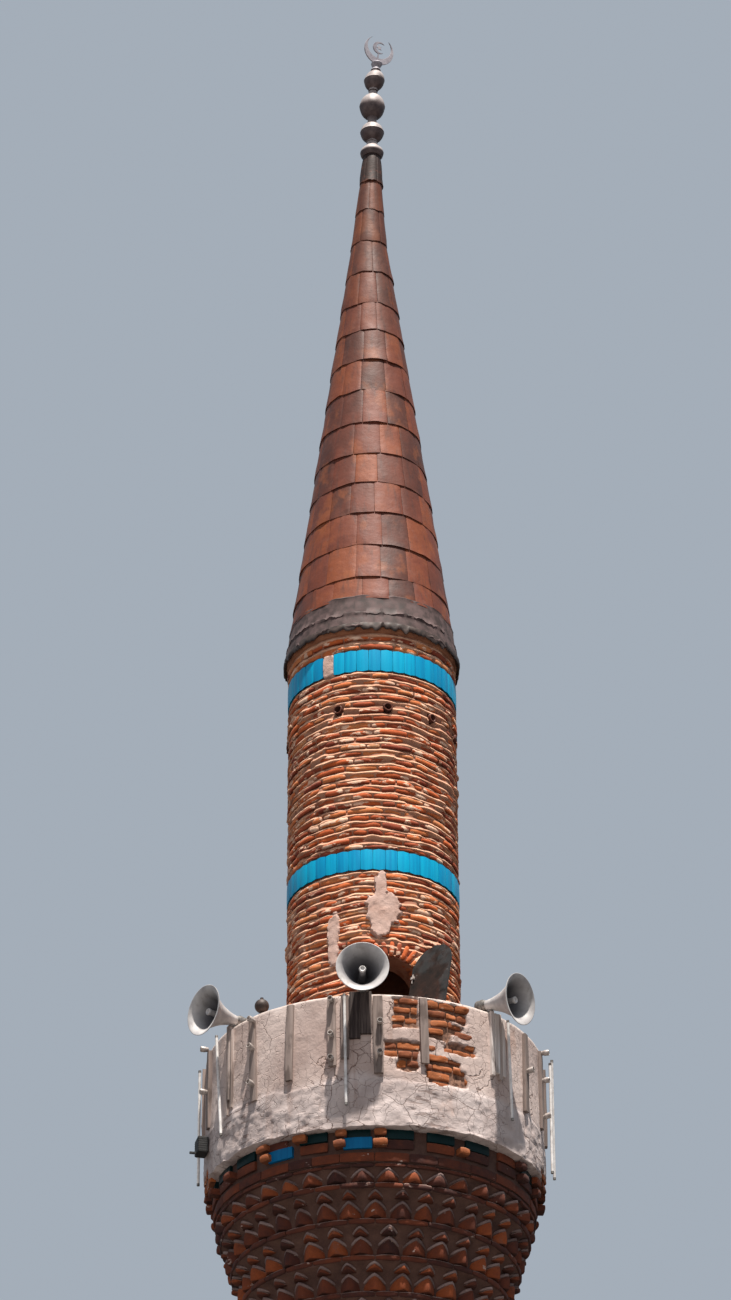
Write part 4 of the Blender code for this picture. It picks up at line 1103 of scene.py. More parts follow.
def corbel():
    """Five tiers of pointed bricks, each brick with a brow of mortar, and a plain band over each tier."""
    rng = np.random.default_rng(81)
    for number, (noses, reach) in enumerate(TIERS, start=1):
        low = SHAFT_TOP + (number - 1) * TIER_HEIGHT
        top_tier = number == len(TIERS)
        valley = reach - NOSE_DEPTH
        spacing = 2 * pi * valley / noses
        bearings = 360 * (np.arange(noses) + (number % 2) / 2) / noses + rng.normal(0, 0.3, noses)
        bricks, brows = [], []
        for foot, top, brow, fall, out, share in [TOP_COURSE] if top_tier else [LOWER_COURSE, UPPER_COURSE]:
            widths = spacing * share * rng.uniform(0.93, 1.05, noses)
            tilts = rng.normal(0, 1.2, noses)
            lifts = out + rng.normal(0, 0.005, noses)
            lows = rng.normal(0, 0.004, noses)
            nose = NOSE_DEPTH + (0.004 if out else 0.014 if top_tier else 0.022)
            rows = table(bearings, low + (foot + top) / 2 + lows, widths, top - foot, tilts, lifts, 0.11)
            bricks.append(lay(rows, valley, NOSE_FORM, 0.010, 0.008, nose, (0.006, fall), seed=82 + number))
            rows = table(bearings, low + (top + brow) / 2 + lows, widths + 0.012, brow - top, tilts,
                         lifts - 0.001, 0.11)
            brows.append(lay(rows, valley, NOSE_FORM, 0.010, 0.014, nose - 0.006, (fall, fall),
                             seed=92 + number))
        foot, top, out = TOP_BAND if top_tier else TIER_BAND
        shelf = reach + out
        middles, lengths = course(rng, 0, 360, shelf, (0.20, 0.32), 0.007)
        rows = table(middles, low + (foot + top) / 2, lengths, top - foot, 0.0,
                     rng.normal(0, 0.003, len(middles)), 0.10)
        bricks.append(toned(lay(rows, shelf, BRICK_FORM, 0.009, 0.008, seed=102 + number), 0.0, 0.45))
        name = f"corbel_tier_{number}"
        piece(name + "_bricks", together(*bricks), "corbel_brick")
        points, faces, tones = together(*brows)
        piece(name + "_brows", (points, faces), "brow", deep=0.7 * tones**2)
        core_top = BAND_FOOT if top_tier else low + TIER_HEIGHT
        core = [(WELL_RADIUS, low, 0), (valley - 0.03, low, 0.5), (valley - 0.004, low + 0.012, 1),
                (valley + 0.002, low + 0.06, 1)]
        if top_tier:
            core += [(reach - 0.030, low + 0.112, 1), (reach - 0.012, low + 0.125, 1)]
        else:
            core += [(reach - 0.035, low + 0.165, 1), (reach + 0.020, low + 0.225, 1),
                     (shelf - 0.02, low + 0.240, 1)]
        core += [(shelf - 0.022, core_top - 0.006, 0.5), (WELL_RADIUS, core_top - 0.002, 0)]
        # Painted shade: the core lies deep between the noses and is darkened through the deep field.
        ring_piece(name + "_core", core, 150, "corbel_mortar", name, 0.010, 112 + number, deep=0.3)


BAND_RADIUS = 1.447
COURSE_WALL = 1.455
# Levels of the lower and upper bricks of a pier
PIER_LEVELS = (17.612, 17.706)
# Bearings of the blue tiles that the photograph shows
FRONT_BLUE_TILES = (-5.8, -34.5)
# Bays of the course, counted from the first pier, that keep their blue tiles
BLUE_BAYS = (21, 23)
# Degrees that the photographed piers stand from their even places, and the lost bricks (bay, upper)
PIER_SHIFTS = {21: 4.1, 22: 3.0, 23: 1.9, 0: 0.9, 1: 1.9, 2: 0.3}
# Degrees from the front within which piers take the paler brick; the others are painted darker as shade.
FRONT_REACH = 55.0
LOST_PIERS = ((1, False), (1, True), (2, True), (22, False), (3, False), (3, True))


def cornice():
    """The plain band, and over it the brick piers with tiles and plain bricks between them."""
    rng = np.random.default_rng(121)
    band = [(b, BAND_FOOT + 0.046, length, 0.082, rng.normal(0, 0.3), rng.normal(0, 0.002), 0.14)
            for b, length in zip(*course(rng, 0, 360, BAND_RADIUS, (0.22, 0.36), 0.004))]
    core = [(WELL_RADIUS, BAND_FOOT, 0), (1.42, BAND_FOOT, 0.5), (1.43, BAND_FOOT + 0.01, 1),
            (1.432, 17.555, 1), (1.428, 17.57, 1), (1.428, 17.66, 1), (1.43, 17.67, 1),
            (1.43, COURSE_TOP, 0.5), (WELL_RADIUS, COURSE_TOP, 0)]
    # Painted shade: the core lies deep behind the piers and tiles and is darkened through the deep field.
    ring_piece("cornice_core", core, 160, "corbel_mortar", "cornice_band cornice_course", 0.008, 123,
               deep=0.45)
    low_level, high_level = PIER_LEVELS
    piers, plain, panels, blue = [], [], [], []
    for bay in range(round(360 / BAY)):
        bearing = BAY * bay + BAY_START
        middle = bearing + BAY / 2
        for level in PIER_LEVELS:
            spread, length = rng.normal(0, 0.5), rng.uniform(0.090, 0.128)
            turn, lift = rng.normal(0, 2.5), rng.normal(0, 0.005)
            kept = rng.random() > 0.12 or bay in PIER_SHIFTS
            if kept and (bay, level == high_level) not in LOST_PIERS:
                place = bearing + PIER_SHIFTS.get(bay, 0.0) + spread
                piers.append((place, level, length, 0.068, turn, 0.066 + lift, 0.12))
        if rng.random() < 0.85:
            panels.append((middle, high_level, 0.262, 0.088, rng.normal(0, 0.6), rng.normal(0.006, 0.003),
                           0.05))
        else:
            plain.append((middle, high_level, 0.25, 0.080, rng.normal(0, 0.6), rng.normal(0.008, 0.003),
                          0.05))
        if bay not in BLUE_BAYS and rng.random() < 0.9:
            plain.append((middle, low_level, 0.262, 0.086, rng.normal(0, 0.5), rng.normal(0.004, 0.003),
                          0.05))
        elif bay not in BLUE_BAYS:
            blue.append((middle, 17.618, 0.256, 0.098, 0.0, 0.004, 0.04))
    for middle in FRONT_BLUE_TILES:
        blue.append((middle, 17.622, 0.256, 0.104, rng.normal(0, 0.6), 0.012, 0.04))
    laid = (lay(band, BAND_RADIUS, BRICK_FORM, 0.005, 0.006, seed=122),
            lay(plain, COURSE_WALL, BRICK_FORM, 0.006, 0.006, seed=126))
    piece("cornice_plain_bricks", toned(together(*laid), 0.0, 0.5), "corbel_brick")
    # Painted shade: piers beyond FRONT_REACH take the darker corbel brick, and the front ones take the paler
    # broken brick.
    in_front = [row for row in piers if abs(aside(row[0], 0)) < FRONT_REACH]
    around = [row for row in piers if row not in in_front]
    for name, rows, seed, look, low, share in (
        ("cornice_pier_bricks", in_front, 124, "broken_brick", 0.1, 0.4),
        ("cornice_shaded_pier_bricks", around, 127, "corbel_brick", 0.0, 0.6),
    ):
        piece(name, toned(lay(rows, COURSE_WALL, BRICK_FORM, 0.009, 0.010, seed=seed), low, share), look)
    # The upper row of teal tiles carries painted shade from the plaster's overhang in its colour.
    for name, rows, look in (("cornice_teal_tiles_painted_shade", panels, "shaded_teal_glaze"),
                             ("cornice_blue_tiles", blue, "blue_glaze")):
        piece(name, lay(rows, COURSE_WALL, TILE_FORM, 0.003, 0.001, seed=125), look)


# Places on the parapet, as (first bearing, last bearing, low, high), where plaster has fallen off
BROKEN_AREAS = ((6.4, 15.2, 18.69, 18.995), (17.6, 32.4, 18.82, 18.99), (18.0, 25.8, 18.62, 18.84),
                (25.0, 30.6, 18.70, 18.79), (3.4, 15.2, 18.42, 18.565), (7.0, 15.0, 18.29, 18.43),
                (24.7, 35.0, 18.52, 18.63), (18.6, 30.4, 18.35, 18.45), (17.4, 32.0, 18.19, 18.36),
                (200.0, 212.0, 18.35, 18.70), (118.0, 127.0, 18.6, 18.85), (255.0, 262.0, 18.25, 18.5),
                (76.0, 112.0, 17.70, 17.86), (-112.0, -76.0, 17.70, 17.86))


def broken_at(bearing, level):
    """1 where the parapet's plaster has fallen, else 0."""
    surface = polar(bearing, PARAPET_RADIUS, level)
    b = bearing + 1.5 * rough(surface, 0.12, 131, 4)
    z = level + 0.028 * rough(surface, 0.10, 132, 4)
    found = np.zeros(np.shape(b))
    for first, last, low, high in BROKEN_AREAS:
        past_side = abs(aside(b, (first + last) / 2)) - (last - first) / 2
        past = np.maximum(past_side * radians(1) * PARAPET_RADIUS,
                          abs(z - (low + high) / 2) - (high - low) / 2)
        found = np.maximum(found, step(-past, -0.006, 0.010))
    return found


def parapet():
    columns = 560
    b = (np.arange(columns) * 360 / columns)[None]
    inner = PARAPET_RADIUS - PARAPET_WALL
    foot = [(inner, COURSE_TOP + 0.001, 0, 0), (1.475, COURSE_TOP - 0.004, 0, 0), (1.512, 17.728, 1, 0)]
    wall = [(PARAPET_RADIUS - 0.004, z, 1, 1) for z in np.linspace(17.735, PARAPET_TOP - 0.02, 100)]
    cap = [(1.526, 19.012, 1, 0), (1.512, 19.019, 1, 0), (1.455, 19.018, 0.6, 0),
           (inner + 0.02, 19.014, 0.6, 0), (inner, 18.995, 0.5, 0), (inner, 18.5, 0.5, 0)]
    radii, heights, shares, skins = column(*foot, *wall, *cap)
    surface = polar(b, radii, heights)
    gone = skins * broken_at(b, heights)
    low_part = step(18.22 - heights, 0.0, 0.12) * skins
    out = 0.008 * rough(surface, 0.5, 133) + (0.0028 + 0.009 * low_part) * rough(surface, 0.08, 134, 4)
    edge = 18.19 + 0.03 * rough(polar(b, 1.5, 0 * heights), 0.3, 135)
    ledge = 0.006 * step(edge - heights, 0.0, 0.02) * skins
    crumbled = step(broken_at(b + 1.5, heights - 0.02) + broken_at(b - 1.5, heights + 0.02), 0.2, 1.5) * skins
    out = out + 0.006 * crumbled * rough(surface, 0.045, 138)
    radii = radii + shares * (out + ledge) - 0.027 * gone
    hang = np.exp(-((heights - 17.735) / 0.04) ** 2) * (heights < 17.9) * shares
    drop = 0.030 * rough(polar(b, PARAPET_RADIUS, 0 * heights), 0.22, 136, 4)
    heights = heights + hang * (drop + 0.022) + 0.004 * shares * (heights > 19.0) * rough(surface, 0.15, 137)
    form = polar(b, radii, heights), grid_faces(len(radii), columns, join_rows=True)
    piece("parapet_plaster", form, "plaster", "parapet", broken=np.broadcast_to(gone, radii.shape))


def parapet_bricks():
    """The bricks that show where the plaster has fallen."""
    rng = np.random.default_rng(141)
    rows = []
    for k in range(15):
        level = 17.71 + 0.086 * (k + 0.5)
        for bearing, length in zip(*course(rng, 0, 360, PARAPET_RADIUS, (0.10, 0.24), 0.008)):
            probe = bearing + np.degrees(np.array([-0.45, 0.0, 0.45]) * length / PARAPET_RADIUS)
            if broken_at(probe, np.full(3, level)).max() > 0.3 and rng.random() > 0.05:
                rows.append((bearing, level, length, 0.064 * rng.uniform(0.72, 1.12), rng.normal(0, 2.0),
                             -0.011 + rng.normal(0, 0.006), 0.05))
    bricks = lay(rows, PARAPET_RADIUS, LONG_FORM, 0.005, 0.017, corner=0.002, seed=142)
    piece("parapet_bricks", toned(bricks, 0.1, 0.7), "broken_brick")


# Fittings on the parapet: bearing, low and high level, width and lean of each lath
LATHS = tuple((BAY_START + BAY * k, 18.22, 18.985, 0.066, 0.0) for k in (*range(4, 12), *range(13, 20)))
FRONT_LATHS = ((-43.9, 18.17, 18.975, 0.070, 1.6), (-28.7, 18.26, 18.99, 0.068, -1.0),
               (-13.8, 18.33, 18.985, 0.072, 0.6), (1.4, 18.24, 18.985, 0.086, 0.3),
               (16.6, 18.36, 18.99, 0.072, 0.6))
# Bulb sockets: bearing and levels
SOCKETS = ((-43.2, (18.95, 18.684, 18.333)), (-13.7, (18.955, 18.619, 18.389)), (1.9, (18.72, 18.42)),
           (-74.0, (19.0, 18.58)), (76.0, (18.97, 18.70, 18.35)), (61.0, (18.62,)), (106.0, (18.9, 18.45)),
           (136.0, (18.93, 18.6)), (196.0, (18.93, 18.6, 18.33)), (226.0, (18.9, 18.5)),
           (256.0, (18.94, 18.62)))
SOCKET_PROFILE = [(0.0, -0.055), (0.012, -0.055), (0.020, -0.052), (0.022, -0.030), (0.026, -0.024),
                  (0.027, 0.012), (0.024, 0.020), (0.019, 0.020), (0.017, 0.004), (0.016, -0.022),
                  (0.0, -0.024)]
# White lamp tubes: bearing and level of the top and of the bottom, and their distance from the face
TUBES = ((-9.4, 19.0, -8.9, 17.93, 0.052), (48.8, 18.98, 50.0, 18.02, 0.052),
         (-63.0, 19.0, -58.9, 17.98, 0.052), (-93.0, 19.03, -93.5, 17.9, 0.060),
         (88.0, 19.05, 92.0, 17.92, 0.085), (79.0, 18.9, 78.0, 17.81, 0.085),
         (151.0, 19.0, 150.0, 17.9, 0.052), (211.0, 19.0, 212.5, 17.92, 0.052))


def fittings():
    rng = np.random.default_rng(151)
    rows = [(bearing, (low + high) / 2, width, high - low, lean + rng.normal(0, 0.4), 0.030, 0.045)
            for bearing, low, high, width, lean in LATHS + FRONT_LATHS]
    piece("parapet_laths", toned(lay(rows, PARAPET_RADIUS, LATH_FORM, 0.003, 0.003, seed=152), 0.2, 0.4),
          "wood")

    forms = []
    for bearing, level in [(bearing, level) for bearing, levels in SOCKETS for level in levels]:
        droop = spin(rng.uniform(-14, 8), "X")
        aim = spin(bearing + rng.normal(0, 5), "Z") @ droop @ spin(90, "X")
        seat = Matrix.Translation(Vector(polar(bearing, PARAPET_RADIUS + 0.075, level)))
        forms.append(turned(SOCKET_PROFILE, 20, seat @ aim))
    piece("bulb_sockets", joined(*forms)[:2], "porcelain", sharp=30.0)

    tubes, caps = [], []
    for top_bearing, top, low_bearing, low, stand_off in TUBES:
        start = Vector(polar(top_bearing, PARAPET_RADIUS + stand_off, top))
        way = Vector(polar(low_bearing, PARAPET_RADIUS + stand_off, low)) - start
        aim = Matrix.Translation(start) @ way.to_track_quat("Z", "Y").to_matrix().to_4x4()
        size = way.length
        tubes.append(turned([(0.0, 0.0), *[(0.013, share * size) for share in (0.0, 0.3, 0.7, 1.0)],
                             (0.0, size)], 16, aim))
        for place in (0.0, size - 0.02):
            ends = (place - 0.001, place + 0.021)
            caps.append(turned([(0.0, ends[0]), (0.0138, ends[0]), (0.0138, ends[1]), (0.0, ends[1])], 16,
                               aim))
    piece("lamp_tubes", joined(*tubes)[:2], "tube", sharp=30.0)
    piece("lamp_tube_caps", joined(*caps)[:2], "steel", sharp=30.0)


# Loudspeakers

# Seat bearing, mouth bearing, level of the axis at the seat, and droop in degrees
HORNS = (("front", -3.7, 0.0, 19.128, 0.0), ("right", 42.3, 55.0, 19.10, 6.0),
         ("back", 180.0, 180.0, 19.11, 0.0), ("left", -55.9, -51.0, 19.092, 0.0))
HORN_SEAT = 1.50
# Battens below each horn: first and last place across, proudness, foot, head and tone
PLAIN_BATTENS = ((-0.042, -0.020, 0.030, 18.16, 19.03, 0.8), (-0.016, 0.006, 0.036, 18.30, 19.03, 0.9),
                 (0.010, 0.032, 0.024, 18.22, 18.99, 0.8))
BATTENS = {
    # The front battens are dark wood, and their low tones darken them further as painted shade under the
    # front horn.
    "front": ((-0.116, -0.020, 0.020, 18.58, 19.03, -0.2), (-0.018, 0.080, 0.024, 18.62, 19.03, -0.1),
              (-0.190, -0.122, 0.026, 18.39, 19.0, 0.25)),
    "right": ((-0.012, 0.026, 0.030, 18.40, 19.03, 1.15), (0.030, 0.078, 0.036, 18.43, 19.01, 1.2),
              (0.082, 0.116, 0.026, 18.38, 19.02, 0.85), (0.120, 0.154, 0.032, 18.42, 18.98, 1.1)),
}
# Profiles of the horn along its axis, as (radius, depth)
FLARE = [(0.045, 0.0), (0.053, 0.05), (0.067, 0.10), (0.084, 0.15), (0.104, 0.195), (0.127, 0.235),
         (0.149, 0.272), (0.171, 0.302), (0.192, 0.327), (0.212, 0.345), (0.227, 0.353)]
RIM = [(0.2315, 0.352), (0.2345, 0.355), (0.235, 0.3585), (0.2325, 0.360), (0.228, 0.3592), (0.223, 0.357)]
INSIDE = [(radius - 0.006, depth + 0.006) for radius, depth in FLARE[-2:0:-1]]
INNER_CONE = [(0.034, 0.058), (0.036, 0.075), (0.040, 0.09), (0.037, 0.13), (0.030, 0.20), (0.025, 0.262),
              (0.026, 0.280), (0.031, 0.290), (0.0325, 0.299), (0.030, 0.308), (0.025, 0.313), (0.018, 0.312),
              (0.013, 0.304), (0.009, 0.303), (0.0, 0.305)]
DRIVER = [(0.0, -0.110), (0.030, -0.110), (0.046, -0.106), (0.052, -0.098), (0.054, -0.085), (0.0545, -0.072),
          (0.051, -0.070), (0.051, -0.060), (0.0545, -0.058), (0.0545, -0.030), (0.051, -0.028),
          (0.049, -0.012), (0.046, 0.0), (0.0, 0.0)]
CLAMP = [(0.056, -0.052), (0.059, -0.050), (0.059, -0.036), (0.056, -0.034)]


def horns():
    """Each horn, its driver with a saddle and strap on the rim, and the battens below it."""
    columns = 72
    # Painted shade: the inside of the flare darkens as it narrows, and the bullet darkens further in.
    deep = [0.0] * (1 + len(FLARE) + len(RIM))
    deep += [float(0.88 * step(radius, 0.215, 0.10)) for radius, _ in INSIDE]
    deep += [float(0.8 * step(depth, 0.30, 0.20)) for _, depth in INNER_CONE]
    face = PARAPET_RADIUS
    for name, bearing, mouth_bearing, level, droop in HORNS:
        aim = spin(mouth_bearing, "Z") @ spin(90 + droop, "X")
        matrix = Matrix.Translation(Vector(polar(bearing, HORN_SEAT, level))) @ aim
        shell = turned([(0.0, 0.0), *FLARE, *RIM, *INSIDE, *INNER_CONE], columns, matrix)
        piece(f"horn_{name}_shell", shell, "horn", f"horn_{name}", sharp=50.0, deep=np.repeat(deep, columns))
        turn = spin(bearing, "Z")
        mount = joined(turned(DRIVER, 40, matrix),
                       box_form((-0.028, -1.475, PARAPET_TOP), (0.028, -1.42, level - 0.03), turn),
                       box_form((-0.019, -face - 0.030, PARAPET_TOP), (0.019, -1.41, PARAPET_TOP + 0.013),
                                turn),
                       turned(CLAMP, 40, matrix))
        piece(f"horn_{name}_driver", mount[:2], "steel", f"horn_{name}_mount", sharp=30.0)
        battens, tones = [], []
        for first, last, proud, low, high, tone in BATTENS.get(name, PLAIN_BATTENS):
            battens.append(box_form((first, -face - proud, low), (last, -face + 0.012, high), turn))
            tones += [tone] * len(battens[-1][0])
        piece(f"horn_{name}_battens", joined(*battens)[:2], "wood", slot="bracket_steel", sharp=30.0,
              tone=tones)


def lamps():
    """The round spotlight on the rim and the floodlight with its ribs."""
    middle, radius, steps = 19.12, 0.065, 18
    angles = [radians(-76 + 152 * k / steps) for k in range(steps + 1)]
    ball = [(0.0, 19.022), (0.036, 19.022), (0.036, 19.034), (0.018, 19.038), (0.014, 19.052),
            *[(radius * cos(a), middle + radius * sin(a)) for a in angles], (0.014, 19.190), (0.016, 19.200),
            (0.0, 19.203)]
    seat = Matrix.Translation(Vector(polar(-42.8, 1.47, 0.0)))
    piece("rim_spotlight", turned(ball, 36, seat), "brown_metal", "spotlight", sharp=30.0)
    turn = spin(-76.0, "Z")
    face = PARAPET_RADIUS
    forms = [box_form((-0.068, -face - 0.108, 17.985), (0.084, -face - 0.012, 18.138), turn, 0.006),
             box_form((-0.010, -face - 0.168, 17.990), (0.010, -face - 0.08, 18.010), turn),
             box_form((-0.018, -face - 0.014, 18.02), (0.018, -face + 0.006, 18.10), turn)]
    for k in range(6):
        level = 18.0 + 0.022 * k
        forms.append(box_form((-0.0695, -face - 0.1095, level), (0.0855, -face - 0.02, level + 0.006), turn,
                              0.001))
    piece("parapet_floodlight", joined(*forms)[:2], "black", "floodlight", sharp=30.0)


# Door leaf

LEAF_FOOT = (0.1329, -0.9759, FLOOR_TOP)
LEAF_BEARING, LEAF_LEAN = 49.0, 12.1
LEAF_WIDTH, LEAF_HEIGHT, LEAF_THICKNESS = 0.46, 1.874, 0.012


def door_leaf():
    """A dented sheet with a round top, a rolled edge and two rails, leaning on the wall."""
    aim = spin(LEAF_BEARING - 90, "Z") @ spin(90 - LEAF_LEAN, "X")
    stand = Matrix.Translation(LEAF_FOOT) @ aim
    half = LEAF_WIDTH / 2
    columns, rows = 15, 60
    share, rise = np.linspace(-1, 1, columns), np.linspace(0, 1, rows)
    y = (rise * LEAF_HEIGHT)[:, None]
    past = y - (LEAF_HEIGHT - half)
    x = half + share * np.where(past < 0, half, np.sqrt(np.maximum(half**2 - past**2, 1e-6)))
    plain = np.stack(np.broadcast_arrays(x, y, 0.0), axis=-1)
    dents = np.clip(0.007 * rough(plain, 0.30, 161) + 0.002 * rough(plain, 0.06, 162), -0.004, 0.009)
    rails = sum(np.exp(-((y - level) / 0.02) ** 2) for level in (0.45, 1.1))
    border = step(np.abs(x - half) / half, 0.86, 0.97)
    back, front = (np.stack(np.broadcast_arrays(x, y, depth), axis=-1).reshape(-1, 3)
                   for depth in (dents, LEAF_THICKNESS + dents + 0.004 * rails + 0.004 * border))
    form, _ = thickened(moved(front, stand), moved(back, stand),
                        grid_faces(rows, columns, join_columns=False))
    fields = {"across": np.tile(share, 2 * rows), "rise": np.tile(np.repeat(rise, columns), 2)}
    piece("rusty_door_leaf", form, "rust", "balcony_door_leaf", **fields)
    latch = joined(box_form((0.004, 1.56, 0.012), (0.042, 1.59, 0.030), stand),
                   box_form((0.012, 1.52, 0.012), (0.024, 1.62, 0.022), stand))
    piece("door_latch", latch[:2], "porcelain", slot="door_metal", sharp=30.0)


# Lower shaft and base

def shaft_radius(bearing, level):
    share = (level - SHAFT_FOOT) / (SHAFT_TOP - SHAFT_FOOT)
    return SHAFT_RADII[0] + (SHAFT_RADII[1] - SHAFT_RADII[0]) * share + 0 * bearing


def shaft_wander(bearing, level):
    calm = np.clip(np.minimum(level - SHAFT_FOOT, SHAFT_TOP - level) / 0.15, 0, 1)
    return calm * 0.009 * lumps(polar(bearing, 1.0, level * 0.4), 0.5, 171)


def shaft_bricks():
    rng = np.random.default_rng(172)
    count = round((SHAFT_TOP - SHAFT_FOOT) / BRICK_PITCH)
    pitch = (SHAFT_TOP - SHAFT_FOOT) / count
    for name, first, last, seed in (("low", 0, count // 2, 173), ("high", count // 2, count, 174)):
        rows = []
        for k in range(first, last):
            level = SHAFT_FOOT + (k + 0.5) * pitch
            start = rng.uniform(0, 40)
            for bearing, length in zip(*course(rng, start, start + 360, 0.98, (0.16, 0.34), 0.014)):
                rise = 0.62 * pitch * rng.uniform(0.9, 1.12)
                lift = 0.007 + rng.normal(0, 0.003)
                rows.append((bearing, level, length, rise, rng.normal(0, 0.4), lift, 0.03))
        bricks = lay(rows, shaft_radius, PLAIN_FORM, wander=shaft_wander, seed=seed)
        piece(f"shaft_bricks_{name}", bricks, "shaft_brick")


def split(rng, start, end, sizes, joint):
    """Middles and lengths of the stones that fill a straight stretch."""
    middles, lengths = course(rng, 0.0, degrees(end - start), 1.0, sizes, joint)
    return start + np.radians(middles), lengths


def pedestal_stones():
    """Squared stones on the pedestal, with long and short quoins and an arch over the doorway."""
    rng = np.random.default_rng(181)
    quoin, proud, arch = 0.34, 0.022, 0.27
    levels = np.append(np.linspace(PLINTH_TOP, FOOT_DOOR_SPRING, 6)[:-1],
                       np.linspace(FOOT_DOOR_SPRING, PEDESTAL_TOP, 8))
    rows = []
    for k, (low, high) in enumerate(zip(levels, levels[1:])):
        for side in range(4):
            end = PEDESTAL_HALF + proud if (k + side) % 2 else PEDESTAL_HALF - quoin
            middle = low + 0.4 * (high - low)
            reach = 0.0
            if side == 0:
                reach = arch_reach(middle, FOOT_DOOR_HALF, FOOT_DOOR_SPRING, FOOT_DOOR_HALF + arch)
            for start, stop in [(-end, -reach), (reach, end)] if reach else [(-end, end)]:
                for place, length in zip(*split(rng, start, stop, (0.36, 0.66), 0.012)):
                    at_corner = end > PEDESTAL_HALF and abs(place) + length / 2 > end - 0.05
                    near_door = abs(place) - length / 2 < FOOT_DOOR_HALF + 0.05
                    at_door = side == 0 and low < FOOT_DOOR_SPRING and near_door
                    depth = 0.74 if at_door else quoin if at_corner else 0.10
                    rows.append((side, place, (low + high) / 2, length, high - low - 0.012,
                                 rng.normal(0, 0.15), proud + rng.normal(0, 0.002), depth))
    walls = lay_square(rows, lambda z: PEDESTAL_HALF + 0 * z, STONE_FORM, seed=182)
    count = 11
    middle = FOOT_DOOR_HALF + arch / 2 - 0.003
    angles = 180 * (np.arange(count) + 0.5) / count
    rows = table(0, middle * np.cos(np.radians(angles)),
                 FOOT_DOOR_SPRING + middle * np.sin(np.radians(angles)), arch,
                 pi * middle / count - 0.010, angles, 0.030, 0.74)
    ring = lay_square(rows, lambda z: PEDESTAL_HALF + 0 * z, STONE_FORM, taper=arch / 2 / middle, seed=183)
    piece("pedestal_stones", together(walls, ring), "stone")


def plinth_stones():
    rng = np.random.default_rng(184)
    depth = 0.17
    rows = []
    for side in range(4):
        end = PLINTH_HALF - 0.006 if side % 2 else PLINTH_HALF - depth - 0.012
        rows += [(side, place, PLINTH_TOP / 2, length, PLINTH_TOP - 0.008, 0.0, rng.normal(0, 0.0015), depth)
                 for place, length in zip(*split(rng, -end, end, (0.60, 0.95), 0.010))]
    stones = lay_square(rows, lambda z: PLINTH_HALF - 0.012 + 0 * z, STONE_FORM, 0.010, 0.003, seed=185)
    piece("plinth_stones", stones, "stone", "plinth")
    side = PLINTH_HALF - depth + 0.02
    # Painted shade: the core shows deep in the joints and is darkened slightly through the deep field.
    piece("plinth_core", box_form((-side, -side, 0.0), (side, side, PLINTH_TOP), ease=0.006), "stone_mortar",
          deep=0.1)


def moulding_stones():
    """The moulded slabs over the pedestal and the stones of the ring under the shaft."""
    rng = np.random.default_rng(186)
    rows = [(side, place, 4.376, length, 0.340, 0.0, 0.006, 0.10)
            for side in range(4) for place, length in zip(*split(rng, -1.62, 1.62, (0.62, 0.95), 0.008))]
    slabs = lay_square(rows, lambda z: np.interp(z, *zip(*CORNICE_PROFILE)), MOULDED_FORM, 0.006, 0.004,
                       seed=187)
    middles, lengths = course(rng, 0, 360, 1.10, (0.36, 0.46), 0.010)
    ring = lay(table(middles, 6.24, lengths, 0.268, 0.0, 0.005, 0.10),
               lambda b, z: np.interp(z, *zip(*BASE_RING_PROFILE)) + 0 * b, MOULDED_FORM, 0.005, 0.004,
               seed=188)
    piece("moulding_stones", together(slabs, ring), "stone")


def transition_radius(bearing, level):
    """Distance from the axis to the stage that leads from the square to the round."""
    foot, foot_half = CORNICE_PROFILE[-1]
    share = np.clip((level - foot) / (TRANSITION_TOP - foot), 0, 1)
    half, curve = (1 - share) * foot_half, share * TRANSITION_RADIUS
    turn = np.radians(abs((bearing + 45) % 90 - 45))
    flat_side = (half + curve) / np.cos(turn)
    spread = np.maximum(curve**2 - (half * (np.cos(turn) - np.sin(turn))) ** 2, 0)
    corner = half * (np.cos(turn) + np.sin(turn)) + np.sqrt(spread)
    return np.where((half + curve) * np.tan(turn) <= half, flat_side, corner)


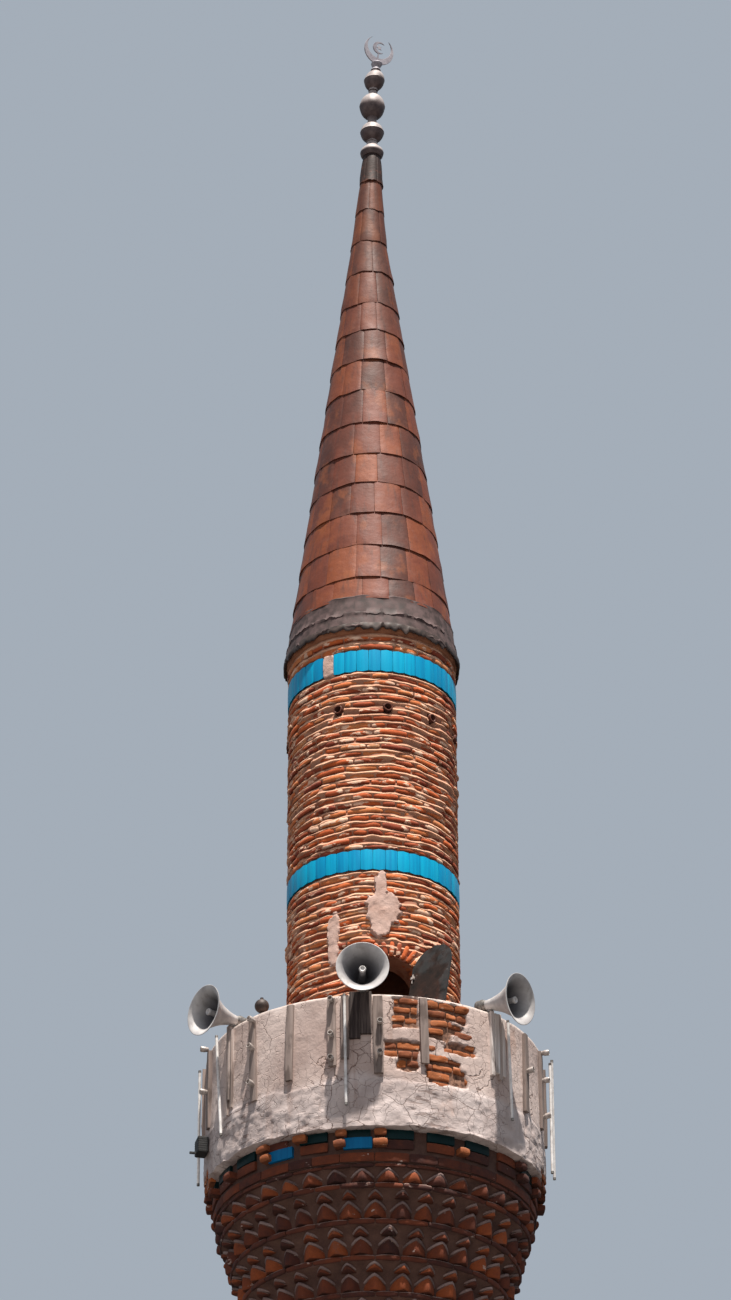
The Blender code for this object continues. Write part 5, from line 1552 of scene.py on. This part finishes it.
def transition_stones():
    rng = np.random.default_rng(189)
    foot = CORNICE_PROFILE[-1][0]
    count = 5
    rise = (TRANSITION_TOP - foot) / count
    rows = []
    for k in range(count):
        level = foot + (k + 0.5) * rise
        radius = float(transition_radius(0.0, level))
        for quarter in range(4):
            start = 90 * quarter - 45 + (0 if k < 2 else rng.uniform(4, 9) * (1 if k % 2 else -1))
            rows += [(b, level, length, rise - 0.012, 0.0, 0.015 + rng.normal(0, 0.002), 0.12)
                     for b, length in zip(*course(rng, start, start + 90, radius, (0.38, 0.62), 0.012))]
    piece("transition_stones", lay(rows, transition_radius, LONG_FORM, 0.010, 0.006, seed=190), "stone")


def plain_nodes():
    """Gives the solids that stay in view a finish of their own."""
    walls = "back_wall left_wall right_wall front_left_pier front_right_pier door_arch cornice"
    nodes = {"pedestal_" + part: "stone_mortar" for part in walls.split()}
    nodes.update(transition="stone_mortar", shaft_base_ring="stone_mortar", balcony_floor="stone",
                 shaft="shaft_mortar")
    for node, look in nodes.items():
        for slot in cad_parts[node].material_slots:
            slot.material = looks[look]


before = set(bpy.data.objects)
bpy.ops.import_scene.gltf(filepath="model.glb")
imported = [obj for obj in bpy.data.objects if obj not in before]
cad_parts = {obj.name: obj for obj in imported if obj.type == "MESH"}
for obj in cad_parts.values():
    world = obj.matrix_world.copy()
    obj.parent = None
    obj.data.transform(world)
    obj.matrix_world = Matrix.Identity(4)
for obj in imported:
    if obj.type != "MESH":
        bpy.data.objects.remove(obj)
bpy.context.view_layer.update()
set_camera()
set_light()
add_floor()
looks = make_looks()
plain_nodes()
upper_shaft()
door_stage()
door_reveal()
arch_bricks()
patches()
socket_pipes()
tile_band("lower_tiles", LOWER_BAND, "lower_tile_band", seed=41)
tile_band("upper_tiles", UPPER_BAND, "upper_tile_band", BAND_GAP, -2.15, 42)
spire()
eaves()
finial()
crescent()
corbel()
cornice()
parapet()
parapet_bricks()
fittings()
horns()
lamps()
door_leaf()
shaft_bricks()
transition_stones()
moulding_stones()
pedestal_stones()
plinth_stones()
